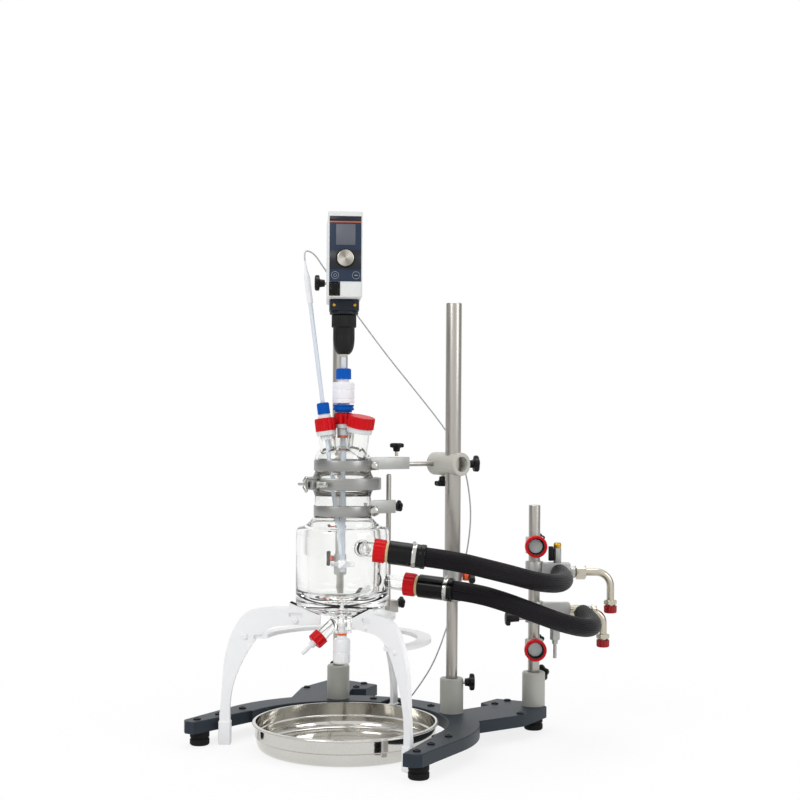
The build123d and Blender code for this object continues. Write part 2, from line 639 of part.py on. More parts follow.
# Glass vessel: neck, jacket and inner wall in one piece, with two hose ports and a bottom outlet
JACKET_R = JACKET_D / 2
NECK_R = NECK_D / 2
CRADLE_EDGE_Z = CRADLE_Z + (85.0 - CRADLE_R) * CRADLE_RISE
FLANGE_LOW = FLANGE_PLANE - 1 - FLANGE_STRAIGHT
UPPER_NOZZLE = Vector(*UPPER_ROUTE[0])
LOWER_NOZZLE = Vector(*LOWER_ROUTE[0])
UPPER_DIRECTION = (Vector(*UPPER_ROUTE[1]) - UPPER_NOZZLE).normalized()
LOWER_DIRECTION = (Vector(*LOWER_ROUTE[1]) - LOWER_NOZZLE).normalized()
FITTING_LONG = SLEEVE_LONG + HOSE_NUT_LONG - 20
UPPER_STUB_END = UPPER_NOZZLE - UPPER_DIRECTION * (FITTING_LONG - 14)
LOWER_STUB_END = LOWER_NOZZLE - LOWER_DIRECTION * (FITTING_LONG - 14)


def on_jacket(point, radius):
    """The point at a radius of the jacket that faces an outside point, at its height."""
    out = Vector(point.X - VESSEL_X, point.Y - VESSEL_Y, 0).normalized()
    return VESSEL + out * radius + Vector(0, 0, point.Z)


UPPER_ELBOW = UPPER_NOZZLE - UPPER_DIRECTION * UPPER_PORT_REACH
LOWER_RUN = Vector(LOWER_NOZZLE.X - VESSEL_X, LOWER_NOZZLE.Y - VESSEL_Y, 0).dot(LOWER_DIRECTION) - JACKET_R
LOWER_ROOT = LOWER_NOZZLE - LOWER_DIRECTION * (LOWER_RUN + 3)
DRAIN_TURN = radians(DRAIN_ANGLE)
DRAIN_DIRECTION = Vector(cos(DRAIN_TURN) * 0.766, sin(DRAIN_TURN) * 0.766, -0.643)
DRAIN_ROOT = VESSEL + (0, 0, 258)
with BuildPart() as vessel:
    with BuildSketch(upright(VESSEL, 0)):
        with BuildLine():
            Polyline((OUTLET_BORE_R, OUTLET_BOTTOM), (OUTLET_R, OUTLET_BOTTOM), (OUTLET_R, 252), (CRADLE_R, CRADLE_Z),
                     (85, CRADLE_EDGE_Z))
            TangentArc((85, CRADLE_EDGE_Z), (JACKET_R, JACKET_LOW), tangent=(1, CRADLE_RISE))
            Polyline((JACKET_R, JACKET_LOW), (JACKET_R, SHOULDER_Z - 6))
            Spline((JACKET_R, SHOULDER_Z - 6), (72, SHOULDER_Z + 7), (NECK_R, SHOULDER_TOP + 8),
                   tangents=((0, 1), (0, 1)))
            Polyline((NECK_R, SHOULDER_TOP + 8), (NECK_R, FLANGE_LOW - FLANGE_CONE), (FLANGE_R, FLANGE_LOW),
                     (FLANGE_R, FLANGE_PLANE - 1), (NECK_R - NECK_WALL, FLANGE_PLANE - 1),
                     (NECK_R - NECK_WALL, SHOULDER_TOP + 8), (INNER_R, SHOULDER_Z - 6), (INNER_R, 306))
            ThreePointArc((INNER_R, 306), (46, 290), (12, 284))
            Polyline((12, 284), (OUTLET_BORE_R, 280), (OUTLET_BORE_R, OUTLET_BOTTOM))
        make_face()
        with BuildLine():
            Polyline((INNER_R + INNER_WALL, 408), (JACKET_R - JACKET_WALL, 408), (JACKET_R - JACKET_WALL, 294),
                     (46, 267), (26, 263), (26, 278), (52, 286), (INNER_R + INNER_WALL, 304), close=True)
        make_face(mode=Mode.SUBTRACT)
    revolve(axis=Axis(VESSEL, (0, 0, 1)))
    add(rod(on_jacket(UPPER_ELBOW, JACKET_R - 3), UPPER_ELBOW, 2 * PORT_R))
    add(rod(UPPER_ELBOW, UPPER_STUB_END, 2 * PORT_R))
    with Locations(UPPER_ELBOW):
        Sphere(PORT_R)
    add(rod(LOWER_ROOT, LOWER_STUB_END, 2 * PORT_R))
    add(rod(DRAIN_ROOT, DRAIN_ROOT + DRAIN_DIRECTION * 72, 24))
    inside = 2 * (PORT_R - PORT_WALL)
    add(rod(on_jacket(UPPER_ELBOW, JACKET_R - 8), UPPER_ELBOW, inside), mode=Mode.SUBTRACT)
    with Locations(UPPER_ELBOW):
        Sphere(inside / 2, mode=Mode.SUBTRACT)
    add(rod(UPPER_ELBOW, UPPER_STUB_END, inside), mode=Mode.SUBTRACT)
    add(rod(LOWER_ROOT - LOWER_DIRECTION * 5, LOWER_STUB_END, inside), mode=Mode.SUBTRACT)
    add(rod(VESSEL + (0, 0, OUTLET_BOTTOM), VESSEL + (0, 0, 282), 2 * OUTLET_BORE_R), mode=Mode.SUBTRACT)
    add(rod(DRAIN_ROOT, DRAIN_ROOT + DRAIN_DIRECTION * 72, 8), mode=Mode.SUBTRACT)
save(vessel.part, "vessel")

# Seals: a flat ring between the flanges and an orange ring under the outlet
with BuildPart() as seals:
    with BuildSketch(level(VESSEL + (0, 0, FLANGE_PLANE - 1))):
        Circle(FLANGE_R - 2)
        Circle(NECK_R - NECK_WALL + 1, mode=Mode.SUBTRACT)
    extrude(amount=SEAL_THICK)
    with BuildSketch(level(VESSEL + (0, 0, 221))):
        Circle(11.5)
        Circle(6.4, mode=Mode.SUBTRACT)
    extrude(amount=OUTLET_BOTTOM - 221)
save(seals.part, "seals")

# Lid: flange, dome and three necks in one piece of glass
LID_LOW = FLANGE_PLANE - 1 + SEAL_THICK
PROBE_BASE = VESSEL + PROBE_SEAT
PROBE_END = VESSEL + PROBE_TOP
PROBE_AXIS = Plane(origin=PROBE_BASE, x_dir=(1, 0, 0.13), z_dir=PROBE_END - PROBE_BASE)
RIGHT_TURN = radians(RIGHT_NECK_ANGLE)
RIGHT_TILT = radians(RIGHT_NECK_TILT)
RIGHT_BASE = around(RIGHT_NECK_ANGLE, RIGHT_NECK_OFFSET, 582)
RIGHT_AXIS = Plane(origin=RIGHT_BASE, x_dir=(-sin(RIGHT_TURN), cos(RIGHT_TURN), 0),
                   z_dir=(cos(RIGHT_TURN) * sin(RIGHT_TILT), sin(RIGHT_TURN) * sin(RIGHT_TILT), cos(RIGHT_TILT)))
with BuildPart() as glass_lid:
    with BuildSketch(upright(VESSEL, 0)):
        with BuildLine():
            Polyline((0, LID_LOW), (FLANGE_R, LID_LOW), (FLANGE_R, LID_LOW + FLANGE_STRAIGHT),
                     (NECK_R, LID_LOW + FLANGE_STRAIGHT + FLANGE_CONE), (NECK_R, LID_DOME_Z))
            Spline((NECK_R, LID_DOME_Z), (40, LID_TOP - 6), (0, LID_TOP), tangents=((0, 1), (-1, 0)))
            Line((0, LID_TOP), (0, LID_LOW))
        make_face()
    revolve(axis=Axis(VESSEL, (0, 0, 1)))
    add(rod(VESSEL + (0, 0, 570), VESSEL + (0, 0, CENTRE_NECK_TOP), 2 * CENTRE_NECK_R))
    add(rod(PROBE_BASE - PROBE_AXIS.z_dir * 12, PROBE_BASE + PROBE_AXIS.z_dir * PROBE_NECK_LONG, 2 * PROBE_NECK_R))
    add(rod(RIGHT_BASE - RIGHT_AXIS.z_dir * 12, RIGHT_BASE + RIGHT_AXIS.z_dir * RIGHT_NECK_LONG, 2 * RIGHT_NECK_R))
    with BuildSketch(upright(VESSEL, 0)):
        with BuildLine():
            Polyline((0, LID_LOW), (NECK_R - NECK_WALL, LID_LOW), (NECK_R - NECK_WALL, LID_DOME_Z))
            Spline((NECK_R - NECK_WALL, LID_DOME_Z), (36, LID_TOP - 10.5), (0, LID_TOP - 4), tangents=((0, 1), (-1, 0)))
            Line((0, LID_TOP - 4), (0, LID_LOW))
        make_face()
    revolve(axis=Axis(VESSEL, (0, 0, 1)), mode=Mode.SUBTRACT)
    add(rod(VESSEL + (0, 0, 560), VESSEL + (0, 0, 700), 2 * CENTRE_BORE_R), mode=Mode.SUBTRACT)
    add(rod(PROBE_BASE - PROBE_AXIS.z_dir * 22, PROBE_BASE + PROBE_AXIS.z_dir * 100, 2 * PROBE_NECK_R - 6), mode=Mode.SUBTRACT)
    add(rod(RIGHT_BASE - RIGHT_AXIS.z_dir * 22, RIGHT_BASE + RIGHT_AXIS.z_dir * 100, 2 * RIGHT_NECK_R - 6), mode=Mode.SUBTRACT)
save(glass_lid.part, "glass_lid")

# Flange clamp: a V-section ring, open at the front left, with ears for its screw
CONE_SLOPE = FLANGE_CONE / (FLANGE_R - NECK_R)
LIP_R = FLANGE_R - 4
CLAMP_BOLT_R = 89.0
LIP_RISE = 4 * CONE_SLOPE + LOOSE
with BuildPart() as flange_clamp:
    with BuildSketch(upright(VESSEL, 0)):
        with BuildLine():
            Polyline((75, FLANGE_LOW - LIP_RISE - 2.5), (75, LID_LOW + FLANGE_STRAIGHT + LIP_RISE + 2.5),
                     (LIP_R, LID_LOW + FLANGE_STRAIGHT + LIP_RISE + 2.5),
                     (LIP_R, LID_LOW + FLANGE_STRAIGHT + LIP_RISE),
                     (FLANGE_R + LOOSE, LID_LOW + FLANGE_STRAIGHT + LOOSE), (FLANGE_R + LOOSE, FLANGE_LOW - LOOSE),
                     (LIP_R, FLANGE_LOW - LIP_RISE), (LIP_R, FLANGE_LOW - LIP_RISE - 2.5), close=True)
        make_face()
    revolve(axis=Axis(VESSEL, (0, 0, 1)))
    bolt_line = facing(around(CLAMP_BOLT_ANGLE, CLAMP_BOLT_R, FLANGE_PLANE), CLAMP_BOLT_ANGLE - 90)
    with BuildSketch(bolt_line.offset(-9)):
        with Locations((-3, 0)):
            Rectangle(32, 16)
    extrude(amount=18)
    with BuildSketch(level(VESSEL + (0, 0, FLANGE_PLANE - 40), CLAMP_BOLT_ANGLE)):
        with Locations((CLAMP_BOLT_R, 0)):
            Rectangle(60, 6)
        Circle(LIP_R, mode=Mode.SUBTRACT)
    extrude(amount=80, mode=Mode.SUBTRACT)
    with BuildSketch(bolt_line.offset(-40)):
        Circle(3 + RUNNING)
    extrude(amount=80, mode=Mode.SUBTRACT)
    with BuildSketch(bolt_line.offset(-9.4)):
        RegularPolygon(6.5, 6)
    extrude(amount=-5)
    with BuildSketch(bolt_line.offset(-14)):
        Circle(3)
    extrude(amount=52)
save(flange_clamp.part, "flange_clamp")

# Wing nut on the flange clamp's screw
with BuildPart() as clamp_wing_nut:
    wing_seat = bolt_line.offset(9.3)
    with BuildSketch(wing_seat):
        Circle(6)
        Circle(3 + RUNNING, mode=Mode.SUBTRACT)
    extrude(amount=9)
    with BuildSketch(Plane(origin=wing_seat.origin, x_dir=wing_seat.z_dir, z_dir=wing_seat.x_dir).offset(-2)):
        for side in (1, -1):
            Polygon((2, side * 4.6), (9, side * 4.6), (19, side * 13), (15, side * 17), (9, side * 15), align=None)
    extrude(amount=4)
save(clamp_wing_nut.part, "clamp_wing_nut")


def ribbed_cap(plane, outer, inner, hole, tall, lip, ribs):
    """A screw cap with ribs: open below, with a hole in its top when hole is more than 0."""
    with BuildPart() as cap:
        with BuildSketch(plane):
            Circle(outer - 0.8)
            with PolarLocations(outer - 0.8, ribs):
                Rectangle(1.6, 2.4)
        extrude(amount=tall)
        with BuildSketch(plane):
            Circle(inner)
        extrude(amount=tall - lip, mode=Mode.SUBTRACT)
        if hole > 0:
            with BuildSketch(plane):
                Circle(hole)
            extrude(amount=tall, mode=Mode.SUBTRACT)
    return cap.part


# Closed red cap on the wide neck
wide_seat = RIGHT_AXIS.offset(RIGHT_NECK_LONG - 24)
with BuildPart() as wide_cap:
    add(ribbed_cap(wide_seat, WIDE_CAP_D / 2, RIGHT_NECK_R + LOOSE, 0, WIDE_CAP_TALL, WIDE_CAP_TALL - 24 - LOOSE, 18))
save(wide_cap.part, "wide_cap")

# Red caps with a hole: centre neck, probe neck, drain, and the two hose outlets
centre_seat = level(VESSEL + (0, 0, 634))
probe_seat = PROBE_AXIS.offset(37)
drain_seat = Plane(origin=DRAIN_ROOT + DRAIN_DIRECTION * 56, z_dir=DRAIN_DIRECTION)
MANIFOLD = level(HOSE_COLUMN, MANIFOLD_ANGLE)


def manifold_point(across, forward, height):
    """A point given across and forward from the hose column."""
    return MANIFOLD.origin + MANIFOLD.x_dir * across - MANIFOLD.y_dir * forward + Vector(0, 0, height)


OUTLETS = {
    "upper": (UPPER_MANIFOLD_Z, UPPER_MANIFOLD_END, UPPER_ELBOW_REACH),
    "lower": (LOWER_MANIFOLD_Z, LOWER_MANIFOLD_END, LOWER_ELBOW_REACH),
}
with BuildPart() as red_screw_caps:
    add(ribbed_cap(centre_seat, 18.5, CENTRE_NECK_R + LOOSE, CENTRE_BORE_R, 22, 3.7, 14))
    add(ribbed_cap(probe_seat, 20.5, PROBE_NECK_R + LOOSE, PROBE_NECK_R - 3, 29, 3.7, 15))
    add(ribbed_cap(drain_seat, 16.5, 12 + LOOSE, 7, 20, 3.7, 12))
    for height, block_end, reach in OUTLETS.values():
        cap_top = manifold_point(reach, 0, height - ELBOW_BEND - ELBOW_DROP)
        cap_plane = Plane(origin=cap_top, x_dir=(1, 0, 0), z_dir=(0, 0, -1))
        add(ribbed_cap(cap_plane, 13.5, ELBOW_D / 2 + LOOSE, 0, 15, 10, 12))
save(red_screw_caps.part, "red_screw_caps")

# White sealing bodies: stirrer gland, probe gland and drain stub
SHAFT_R = SHAFT_D / 2
PROBE_R = 4.2
with BuildPart() as gland_bodies:
    add(turned([(SHAFT_R + RUNNING, 612), (CENTRE_BORE_R - SEATED, 612), (CENTRE_BORE_R - SEATED, 675), (21.7, 675),
                (21.7, 714), (19.7, 716), (11, 716), (11, 730), (SHAFT_R + RUNNING, 730)], level(VESSEL)))
    add(turned([(PROBE_R + RUNNING, 22), (PROBE_NECK_R - 3 - SEATED, 22), (PROBE_NECK_R - 3 - SEATED, 71),
                (10, 71), (10, 86), (PROBE_R + RUNNING, 86)], PROBE_AXIS))
    drain_axis = Plane(origin=DRAIN_ROOT, z_dir=DRAIN_DIRECTION)
    add(turned([(2, 60), (3.9, 60), (3.9, 72), (6.8, 72.2), (6.8, 84), (3.6, 86), (3.6, 108), (2, 108)], drain_axis))
save(gland_bodies.part, "gland_bodies")

# Blue nuts: stepped ring under the stirrer gland, gland nut on top, and the probe's nut
with BuildPart() as gland_nuts:
    add(turned([(CENTRE_BORE_R, 657), (17, 657), (17, 661), (20.8, 661), (20.8, 672), (CENTRE_BORE_R, 672)],
               level(VESSEL)))
    add(ribbed_cap(level(VESSEL + (0, 0, 722)), 15, 11 + SEATED, SHAFT_R + LOOSE, 21, 12, 16))
    add(ribbed_cap(PROBE_AXIS.offset(72), 12.5, 10 + SEATED, PROBE_R + LOOSE, 22, 6, 14))
save(gland_nuts.part, "gland_nuts")

# Temperature probe: a slim tube with a thicker handle at its top
PROBE_LONG = (PROBE_END - PROBE_BASE).length
with BuildPart() as probe:
    add(turned([(0, -206), (2, -208 + 2), (PROBE_R, -200), (PROBE_R, PROBE_LONG - 82), (5.4, PROBE_LONG - 78),
                (5.4, PROBE_LONG - 12), (3, PROBE_LONG - 2), (2.2, PROBE_LONG), (0, PROBE_LONG)], PROBE_AXIS))
save(probe.part, "probe")

# Stirrer shaft
with BuildPart() as stirrer_shaft:
    add(rod(VESSEL + (0, 0, SHAFT_BOTTOM), VESSEL + (0, 0, SHAFT_TOP), SHAFT_D))
    chamfer(stirrer_shaft.edges().group_by(Axis.Z)[-1], 1)
save(stirrer_shaft.part, "stirrer_shaft")

# Impeller: a hub with pitched blades
with BuildPart() as impeller:
    with BuildSketch(level(VESSEL + (0, 0, IMPELLER_Z - 9))):
        Circle(9)
    extrude(amount=18)
    chamfer(impeller.edges().group_by(Axis.Z)[-1], 2)
    for index in range(BLADES):
        turn = index * 360 / BLADES
        blade_plane = facing(VESSEL + (0, 0, IMPELLER_Z), turn).offset(6)
        with BuildSketch(blade_plane):
            with Locations(Location((0, 0, 0), (0, 0, BLADE_PITCH))):
                Rectangle(IMPELLER_TALL, 2.4)
        extrude(amount=IMPELLER_D / 2 - 6)
    with BuildSketch(level(VESSEL + (0, 0, IMPELLER_Z - 20))):
        Circle(SHAFT_R + SEATED)
    extrude(amount=40, mode=Mode.SUBTRACT)
save(impeller.part, "impeller")

# Chuck: a keyless chuck with a ribbed sleeve; its spindle turns in the motor's nose
with BuildPart() as chuck:
    add(turned([(SHAFT_R + SEATED, CHUCK_BOTTOM), (11.5, CHUCK_BOTTOM), (17, 784), (20.4, 797), (21.2, 812),
                (21.2, 823), (24.3, 823), (24.3, NOSE_BOTTOM - CHUCK_GAP), (7, NOSE_BOTTOM - CHUCK_GAP), (7, 872),
                (0, 872), (0, 845), (SHAFT_R + SEATED, 842)], level(VESSEL)))
save(chuck.part, "chuck")

# Motor housing: an upright slab with a rounded back and a switch well in its front
MOTOR_PLANE = level(VESSEL)
MOTOR_MIDDLE = (MOTOR_BACK - MOTOR_FRONT) / 2
with BuildPart() as motor_housing:
    with BuildSketch(MOTOR_PLANE.offset(MOTOR_BOTTOM)):
        with Locations((0, MOTOR_MIDDLE)):
            RectangleRounded(MOTOR_WIDE, MOTOR_BACK + MOTOR_FRONT, 6)
    extrude(amount=MOTOR_TOP - MOTOR_BOTTOM)
    fillet(motor_housing.faces().sort_by(Axis.Z)[-1].edges(), 3)
    front = facing(VESSEL - (0, MOTOR_FRONT, 0), -90)
    with BuildSketch(front):
        with Locations((SWITCH_X, SWITCH_Z)):
            Rectangle(SWITCH_WIDE + 2 * LOOSE, 24)
    extrude(amount=-8, mode=Mode.SUBTRACT)
    with BuildSketch(front):
        with Locations((0, DIAL_Z)):
            Circle(3 + RUNNING)
    extrude(amount=-12, mode=Mode.SUBTRACT)
    with BuildSketch(MOTOR_PLANE.offset(MOTOR_BOTTOM)):
        Circle(9)
    extrude(amount=4, mode=Mode.SUBTRACT)
    with BuildSketch(facing(VESSEL + (0, MOTOR_BACK, BRACKET_Z), 90)):
        Circle(BRACKET_ROD_D / 2 + SEATED)
    extrude(amount=-20, mode=Mode.SUBTRACT)
save(motor_housing.part, "motor_housing")

# Front foil panel
with BuildPart() as motor_panel:
    with BuildSketch(front):
        with Locations((0, PANEL_LOW + PANEL_TALL / 2)):
            RectangleRounded(PANEL_WIDE, PANEL_TALL, 2)
        with Locations((0, DIAL_Z)):
            Circle(3 + RUNNING, mode=Mode.SUBTRACT)
    extrude(amount=PANEL_THICK)
save(motor_panel.part, "motor_panel")

# Dark nose under the housing; the chuck's spindle runs in it
with BuildPart() as motor_collar:
    with BuildSketch(MOTOR_PLANE.offset(NOSE_BOTTOM + 6)):
        RectangleRounded(NOSE_D, NOSE_D, 12)
    extrude(amount=MOTOR_BOTTOM - NOSE_BOTTOM - 6)
    with BuildSketch(MOTOR_PLANE.offset(NOSE_BOTTOM)):
        Circle(NOSE_D / 2 - 1)
    extrude(amount=6)
    with BuildSketch(MOTOR_PLANE.offset(NOSE_BOTTOM)):
        Circle(7 + RUNNING)
    extrude(amount=MOTOR_BOTTOM - NOSE_BOTTOM, mode=Mode.SUBTRACT)
save(motor_collar.part, "motor_collar")

# Speed dial
with BuildPart() as speed_knob:
    dial = Plane(origin=front.origin + Vector(0, -PANEL_THICK - 0.5, DIAL_Z), x_dir=(1, 0, 0), z_dir=(0, -1, 0))
    with BuildSketch(dial):
        Circle(DIAL_D / 2)
    extrude(amount=11)
    chamfer(speed_knob.edges().group_by(Axis.Y)[0], 1.2)
    with BuildSketch(dial):
        Circle(3)
    extrude(amount=-10)
save(speed_knob.part, "speed_knob")

# Power rocker
with BuildPart() as power_switch:
    rocker = Plane(origin=front.origin + Vector(SWITCH_X - SWITCH_WIDE / 2, 0, SWITCH_Z), x_dir=(0, 1, 0), z_dir=(1, 0, 0))
    with BuildSketch(rocker):
        Polygon((-0.4, 10.6), (-0.4, -10.6), (-1.0, -10.6), (-2.6, 0), (-4.4, 10.6), align=None)
        Polygon((-0.4, -10.4), (-0.4, 10.4), (5.5, 4), (5.5, -4), align=None)
    extrude(amount=SWITCH_WIDE)
save(power_switch.part, "power_switch")

# Motor bracket: a rod from the housing's back to a clamp round the rear tube
CLAMP_HALF = 23.0
with BuildPart() as motor_bracket:
    bracket = REAR_COLUMN + (0, 0, BRACKET_Z)
    with BuildSketch(level(bracket - (0, 0, 20))):
        RectangleRounded(2 * CLAMP_HALF, 2 * CLAMP_HALF, 8)
        Circle(UPPER_TUBE_D / 2 + SEATED, mode=Mode.SUBTRACT)
    extrude(amount=40)
    with BuildSketch(facing(VESSEL + (0, MOTOR_BACK - 20, BRACKET_Z), 90)):
        Circle(BRACKET_ROD_D / 2)
    extrude(amount=COLUMN_RADIUS - MOTOR_BACK + 20 - UPPER_TUBE_D / 2 - 2)
    with BuildSketch(facing(bracket, 180)):
        Circle(KNOB_SCREW_D / 2 + RUNNING)
    extrude(amount=CLAMP_HALF + 1, mode=Mode.SUBTRACT)
save(motor_bracket.part, "motor_bracket")
bracket_seat = facing(bracket, 180).offset(CLAMP_HALF + 6)
save(star_knob(bracket_seat, CLAMP_HALF + 6 - UPPER_TUBE_D / 2 - 2 * SEATED), "motor_bracket_knob")

# Stand: three plates bent over like a shoulder, notched for two rings
CRADLE_LOW = CRADLE_Z - 3
CRADLE_HIGH = CRADLE_LOW + (104 - CRADLE_R) * CRADLE_RISE
FOOT_IN = LEG_FOOT_R - 10.5
FOOT_OUT = LEG_FOOT_R + 10.5
LEG_BOTTOM = 17.0


def ring_plate(sizes, opening=0.0):
    """A flat ring plate of the stand, with an opening to the front left when one is given."""
    inner, outer, low = sizes
    with BuildPart(mode=Mode.PRIVATE) as ring:
        with BuildSketch(level(VESSEL + (0, 0, low), OPEN_AXIS_ANGLE + 180)):
            Circle(outer)
            Circle(inner, mode=Mode.SUBTRACT)
            if opening > 0:
                reach = 2 * outer
                wide = reach * tan(radians(opening / 2))
                Polygon((0, 0), (reach, wide), (reach, -wide), align=None, mode=Mode.SUBTRACT)
        extrude(amount=RING_THICK)
    return ring.part


upper_ring = ring_plate(UPPER_RING)
lower_ring = ring_plate(LOWER_RING, 112.0)
BOLTS = [(92.0, 247.0), (LEG_FOOT_R - 39.5, 214.0)]
with BuildPart() as stand_legs:
    for angle in LEG_ANGLES:
        with BuildSketch(upright(VESSEL, angle).offset(-LEG_THICK / 2)):
            with BuildLine():
                Polyline((FOOT_OUT, 60), (FOOT_OUT, LEG_BOTTOM), (FOOT_IN, LEG_BOTTOM), (FOOT_IN, 60))
                Spline((FOOT_IN, 60), (FOOT_IN - 5, 114), (FOOT_IN - 19, 154), (FOOT_IN - 39, 191), (FOOT_IN - 62, 220),
                       (116, 237))
                Polyline((116, 237), (CRADLE_R, 240), (CRADLE_R, CRADLE_LOW), (104, CRADLE_HIGH), (106, 274.5))
                Spline((106, 274.5), (FOOT_OUT - 83, 272), (FOOT_OUT - 57, 264), (FOOT_OUT - 28, 230), (FOOT_OUT - 8, 159),
                       (FOOT_OUT, 60))
            make_face()
        extrude(amount=LEG_THICK)
        with BuildSketch(upright(VESSEL, angle).offset(-LEG_THICK)):
            with Locations(*BOLTS):
                Circle(3 + SEATED)
        extrude(amount=2 * LEG_THICK, mode=Mode.SUBTRACT)
    add(upper_ring, mode=Mode.SUBTRACT)
    add(lower_ring, mode=Mode.SUBTRACT)
save(stand_legs.part, "stand_legs")
with BuildPart() as stand_rings:
    add(upper_ring)
    add(lower_ring)
save(stand_rings.part, "stand_rings")

# Domed screws through the legs, and white caps on the leg ends
with BuildPart() as stand_fittings:
    for angle in LEG_ANGLES:
        for out, up in BOLTS:
            face = upright(VESSEL, angle)
            spot = face.origin + face.x_dir * out + face.y_dir * up
            side = Plane(origin=spot + face.z_dir * (LEG_THICK / 2), x_dir=face.x_dir, z_dir=face.z_dir)
            add(turned([(0, -LEG_THICK), (3, -LEG_THICK), (3, 0), (6.5, 0), (6, 2), (4, 4), (0, 5)], side))
        with BuildSketch(level(VESSEL, angle)):
            with Locations((LEG_FOOT_R, 0)):
                RectangleRounded(CAP_SIZE[0], CAP_SIZE[1], 2.5)
        extrude(amount=CAP_SIZE[2])
        with BuildSketch(level(VESSEL + (0, 0, LEG_BOTTOM), angle)):
            with Locations((LEG_FOOT_R, 0)):
                Rectangle(21 + 2 * SEATED, LEG_THICK + 2 * SEATED)
        extrude(amount=CAP_SIZE[2], mode=Mode.SUBTRACT)
save(stand_fittings.part, "stand_fittings")

# Black rubber strips that the glass rests on
with BuildPart() as cradle_pads:
    for angle in LEG_ANGLES:
        with BuildSketch(upright(VESSEL, angle).offset(-PAD_WIDE / 2)):
            low_in = CRADLE_LOW + 0.5 * CRADLE_RISE + RUNNING
            low_out = CRADLE_LOW + (85 - CRADLE_R) * CRADLE_RISE + RUNNING
            Polygon((CRADLE_R + 0.5, low_in), (85, low_out), (85, low_out + PAD_THICK), (CRADLE_R + 0.5, low_in + PAD_THICK),
                    align=None)
        extrude(amount=PAD_WIDE)
save(cradle_pads.part, "cradle_pads")

# Drip pan: spun sheet with a rolled rim and a bead half way up its wall
pan_plane = level(VESSEL + (PAN_SHIFT, 0, 0))
PAN_BEAD = 25.0
with BuildPart() as drip_pan:
    with BuildSketch(upright(pan_plane.origin, 0)):
        with BuildLine():
            Line((0, 0), (PAN_FLOOR_R - PAN_CORNER, 0))
            TangentArc((PAN_FLOOR_R - PAN_CORNER, 0), (PAN_FLOOR_R, PAN_CORNER - 4), tangent=(1, 0))
            Polyline((PAN_FLOOR_R, PAN_CORNER - 4), (PAN_FLOOR_R, PAN_BEAD), (PAN_WALL_R, PAN_BEAD + 3), (PAN_WALL_R, PAN_TALL - 5),
                     (PAN_R, PAN_TALL - 4.4), (PAN_R, PAN_TALL - 1), (PAN_R - 1.5, PAN_TALL), (PAN_WALL_R - PAN_SHEET, PAN_TALL),
                     (PAN_WALL_R - PAN_SHEET, PAN_BEAD + 3.6), (PAN_FLOOR_R - PAN_SHEET, PAN_BEAD + 0.6),
                     (PAN_FLOOR_R - PAN_SHEET, PAN_CORNER - 4))
            TangentArc((PAN_FLOOR_R - PAN_CORNER, PAN_SHEET), (PAN_FLOOR_R - PAN_SHEET, PAN_CORNER - 4), tangent=(1, 0))
            Polyline((PAN_FLOOR_R - PAN_CORNER, PAN_SHEET), (0, PAN_SHEET), (0, 0))
        make_face()
    revolve(axis=Axis(pan_plane.origin, (0, 0, 1)))
save(drip_pan.part, "drip_pan")

# Outlet valve: a white hand wheel whose spindle turns up in the outlet's bore
with BuildPart() as outlet_valve:
    add(turned([(0, 165), (14, 165), (16.5, 168), (16.5, 208), (14.5, 214), (9.5, 214.5), (9.5, 220.5), (6.2, 220.7),
                (6.2, 236), (OUTLET_BORE_R - RUNNING, 238), (OUTLET_BORE_R - RUNNING, 246), (4, 248), (4, 279),
                (0, 283)], level(VESSEL)))
save(outlet_valve.part, "outlet_valve")

# Hose fittings: red nuts, glossy sleeves
FITTINGS = {"upper": (UPPER_NOZZLE, UPPER_DIRECTION), "lower": (LOWER_NOZZLE, LOWER_DIRECTION)}
with BuildPart() as hose_sleeves:
    for end, direction in FITTINGS.values():
        sleeve = Plane(origin=end - direction * SLEEVE_LONG, z_dir=direction)
        add(turned([(12, 12), (18, 12), (18, 0), (SLEEVE_D / 2, 0), (SLEEVE_D / 2, SLEEVE_LONG), (12, SLEEVE_LONG)], sleeve))
save(hose_sleeves.part, "hose_sleeves")

# Four red ring nuts: one at each hose's glass end and one on each parking port
with BuildPart() as red_ring_nuts:
    for end, direction in FITTINGS.values():
        nut = Plane(origin=end - direction * (SLEEVE_LONG + HOSE_NUT_LONG - 14), z_dir=direction)
        with BuildSketch(nut):
            Circle(HOSE_NUT_D / 2 - 0.8)
            with PolarLocations(HOSE_NUT_D / 2 - 0.8, 16):
                Rectangle(1.6, 3)
            Circle(PORT_R + LOOSE, mode=Mode.SUBTRACT)
        extrude(amount=HOSE_NUT_LONG - 14 - LOOSE)
    for height in PARKING_Z:
        port = facing(manifold_point(0, PARKING_REACH - 18, height), MANIFOLD_ANGLE - 90)
        with BuildSketch(port):
            Circle(22)
            with PolarLocations(22, 16):
                Rectangle(1.6, 3)
            Circle(17 + LOOSE, mode=Mode.SUBTRACT)
        extrude(amount=18)
save(red_ring_nuts.part, "red_ring_nuts")

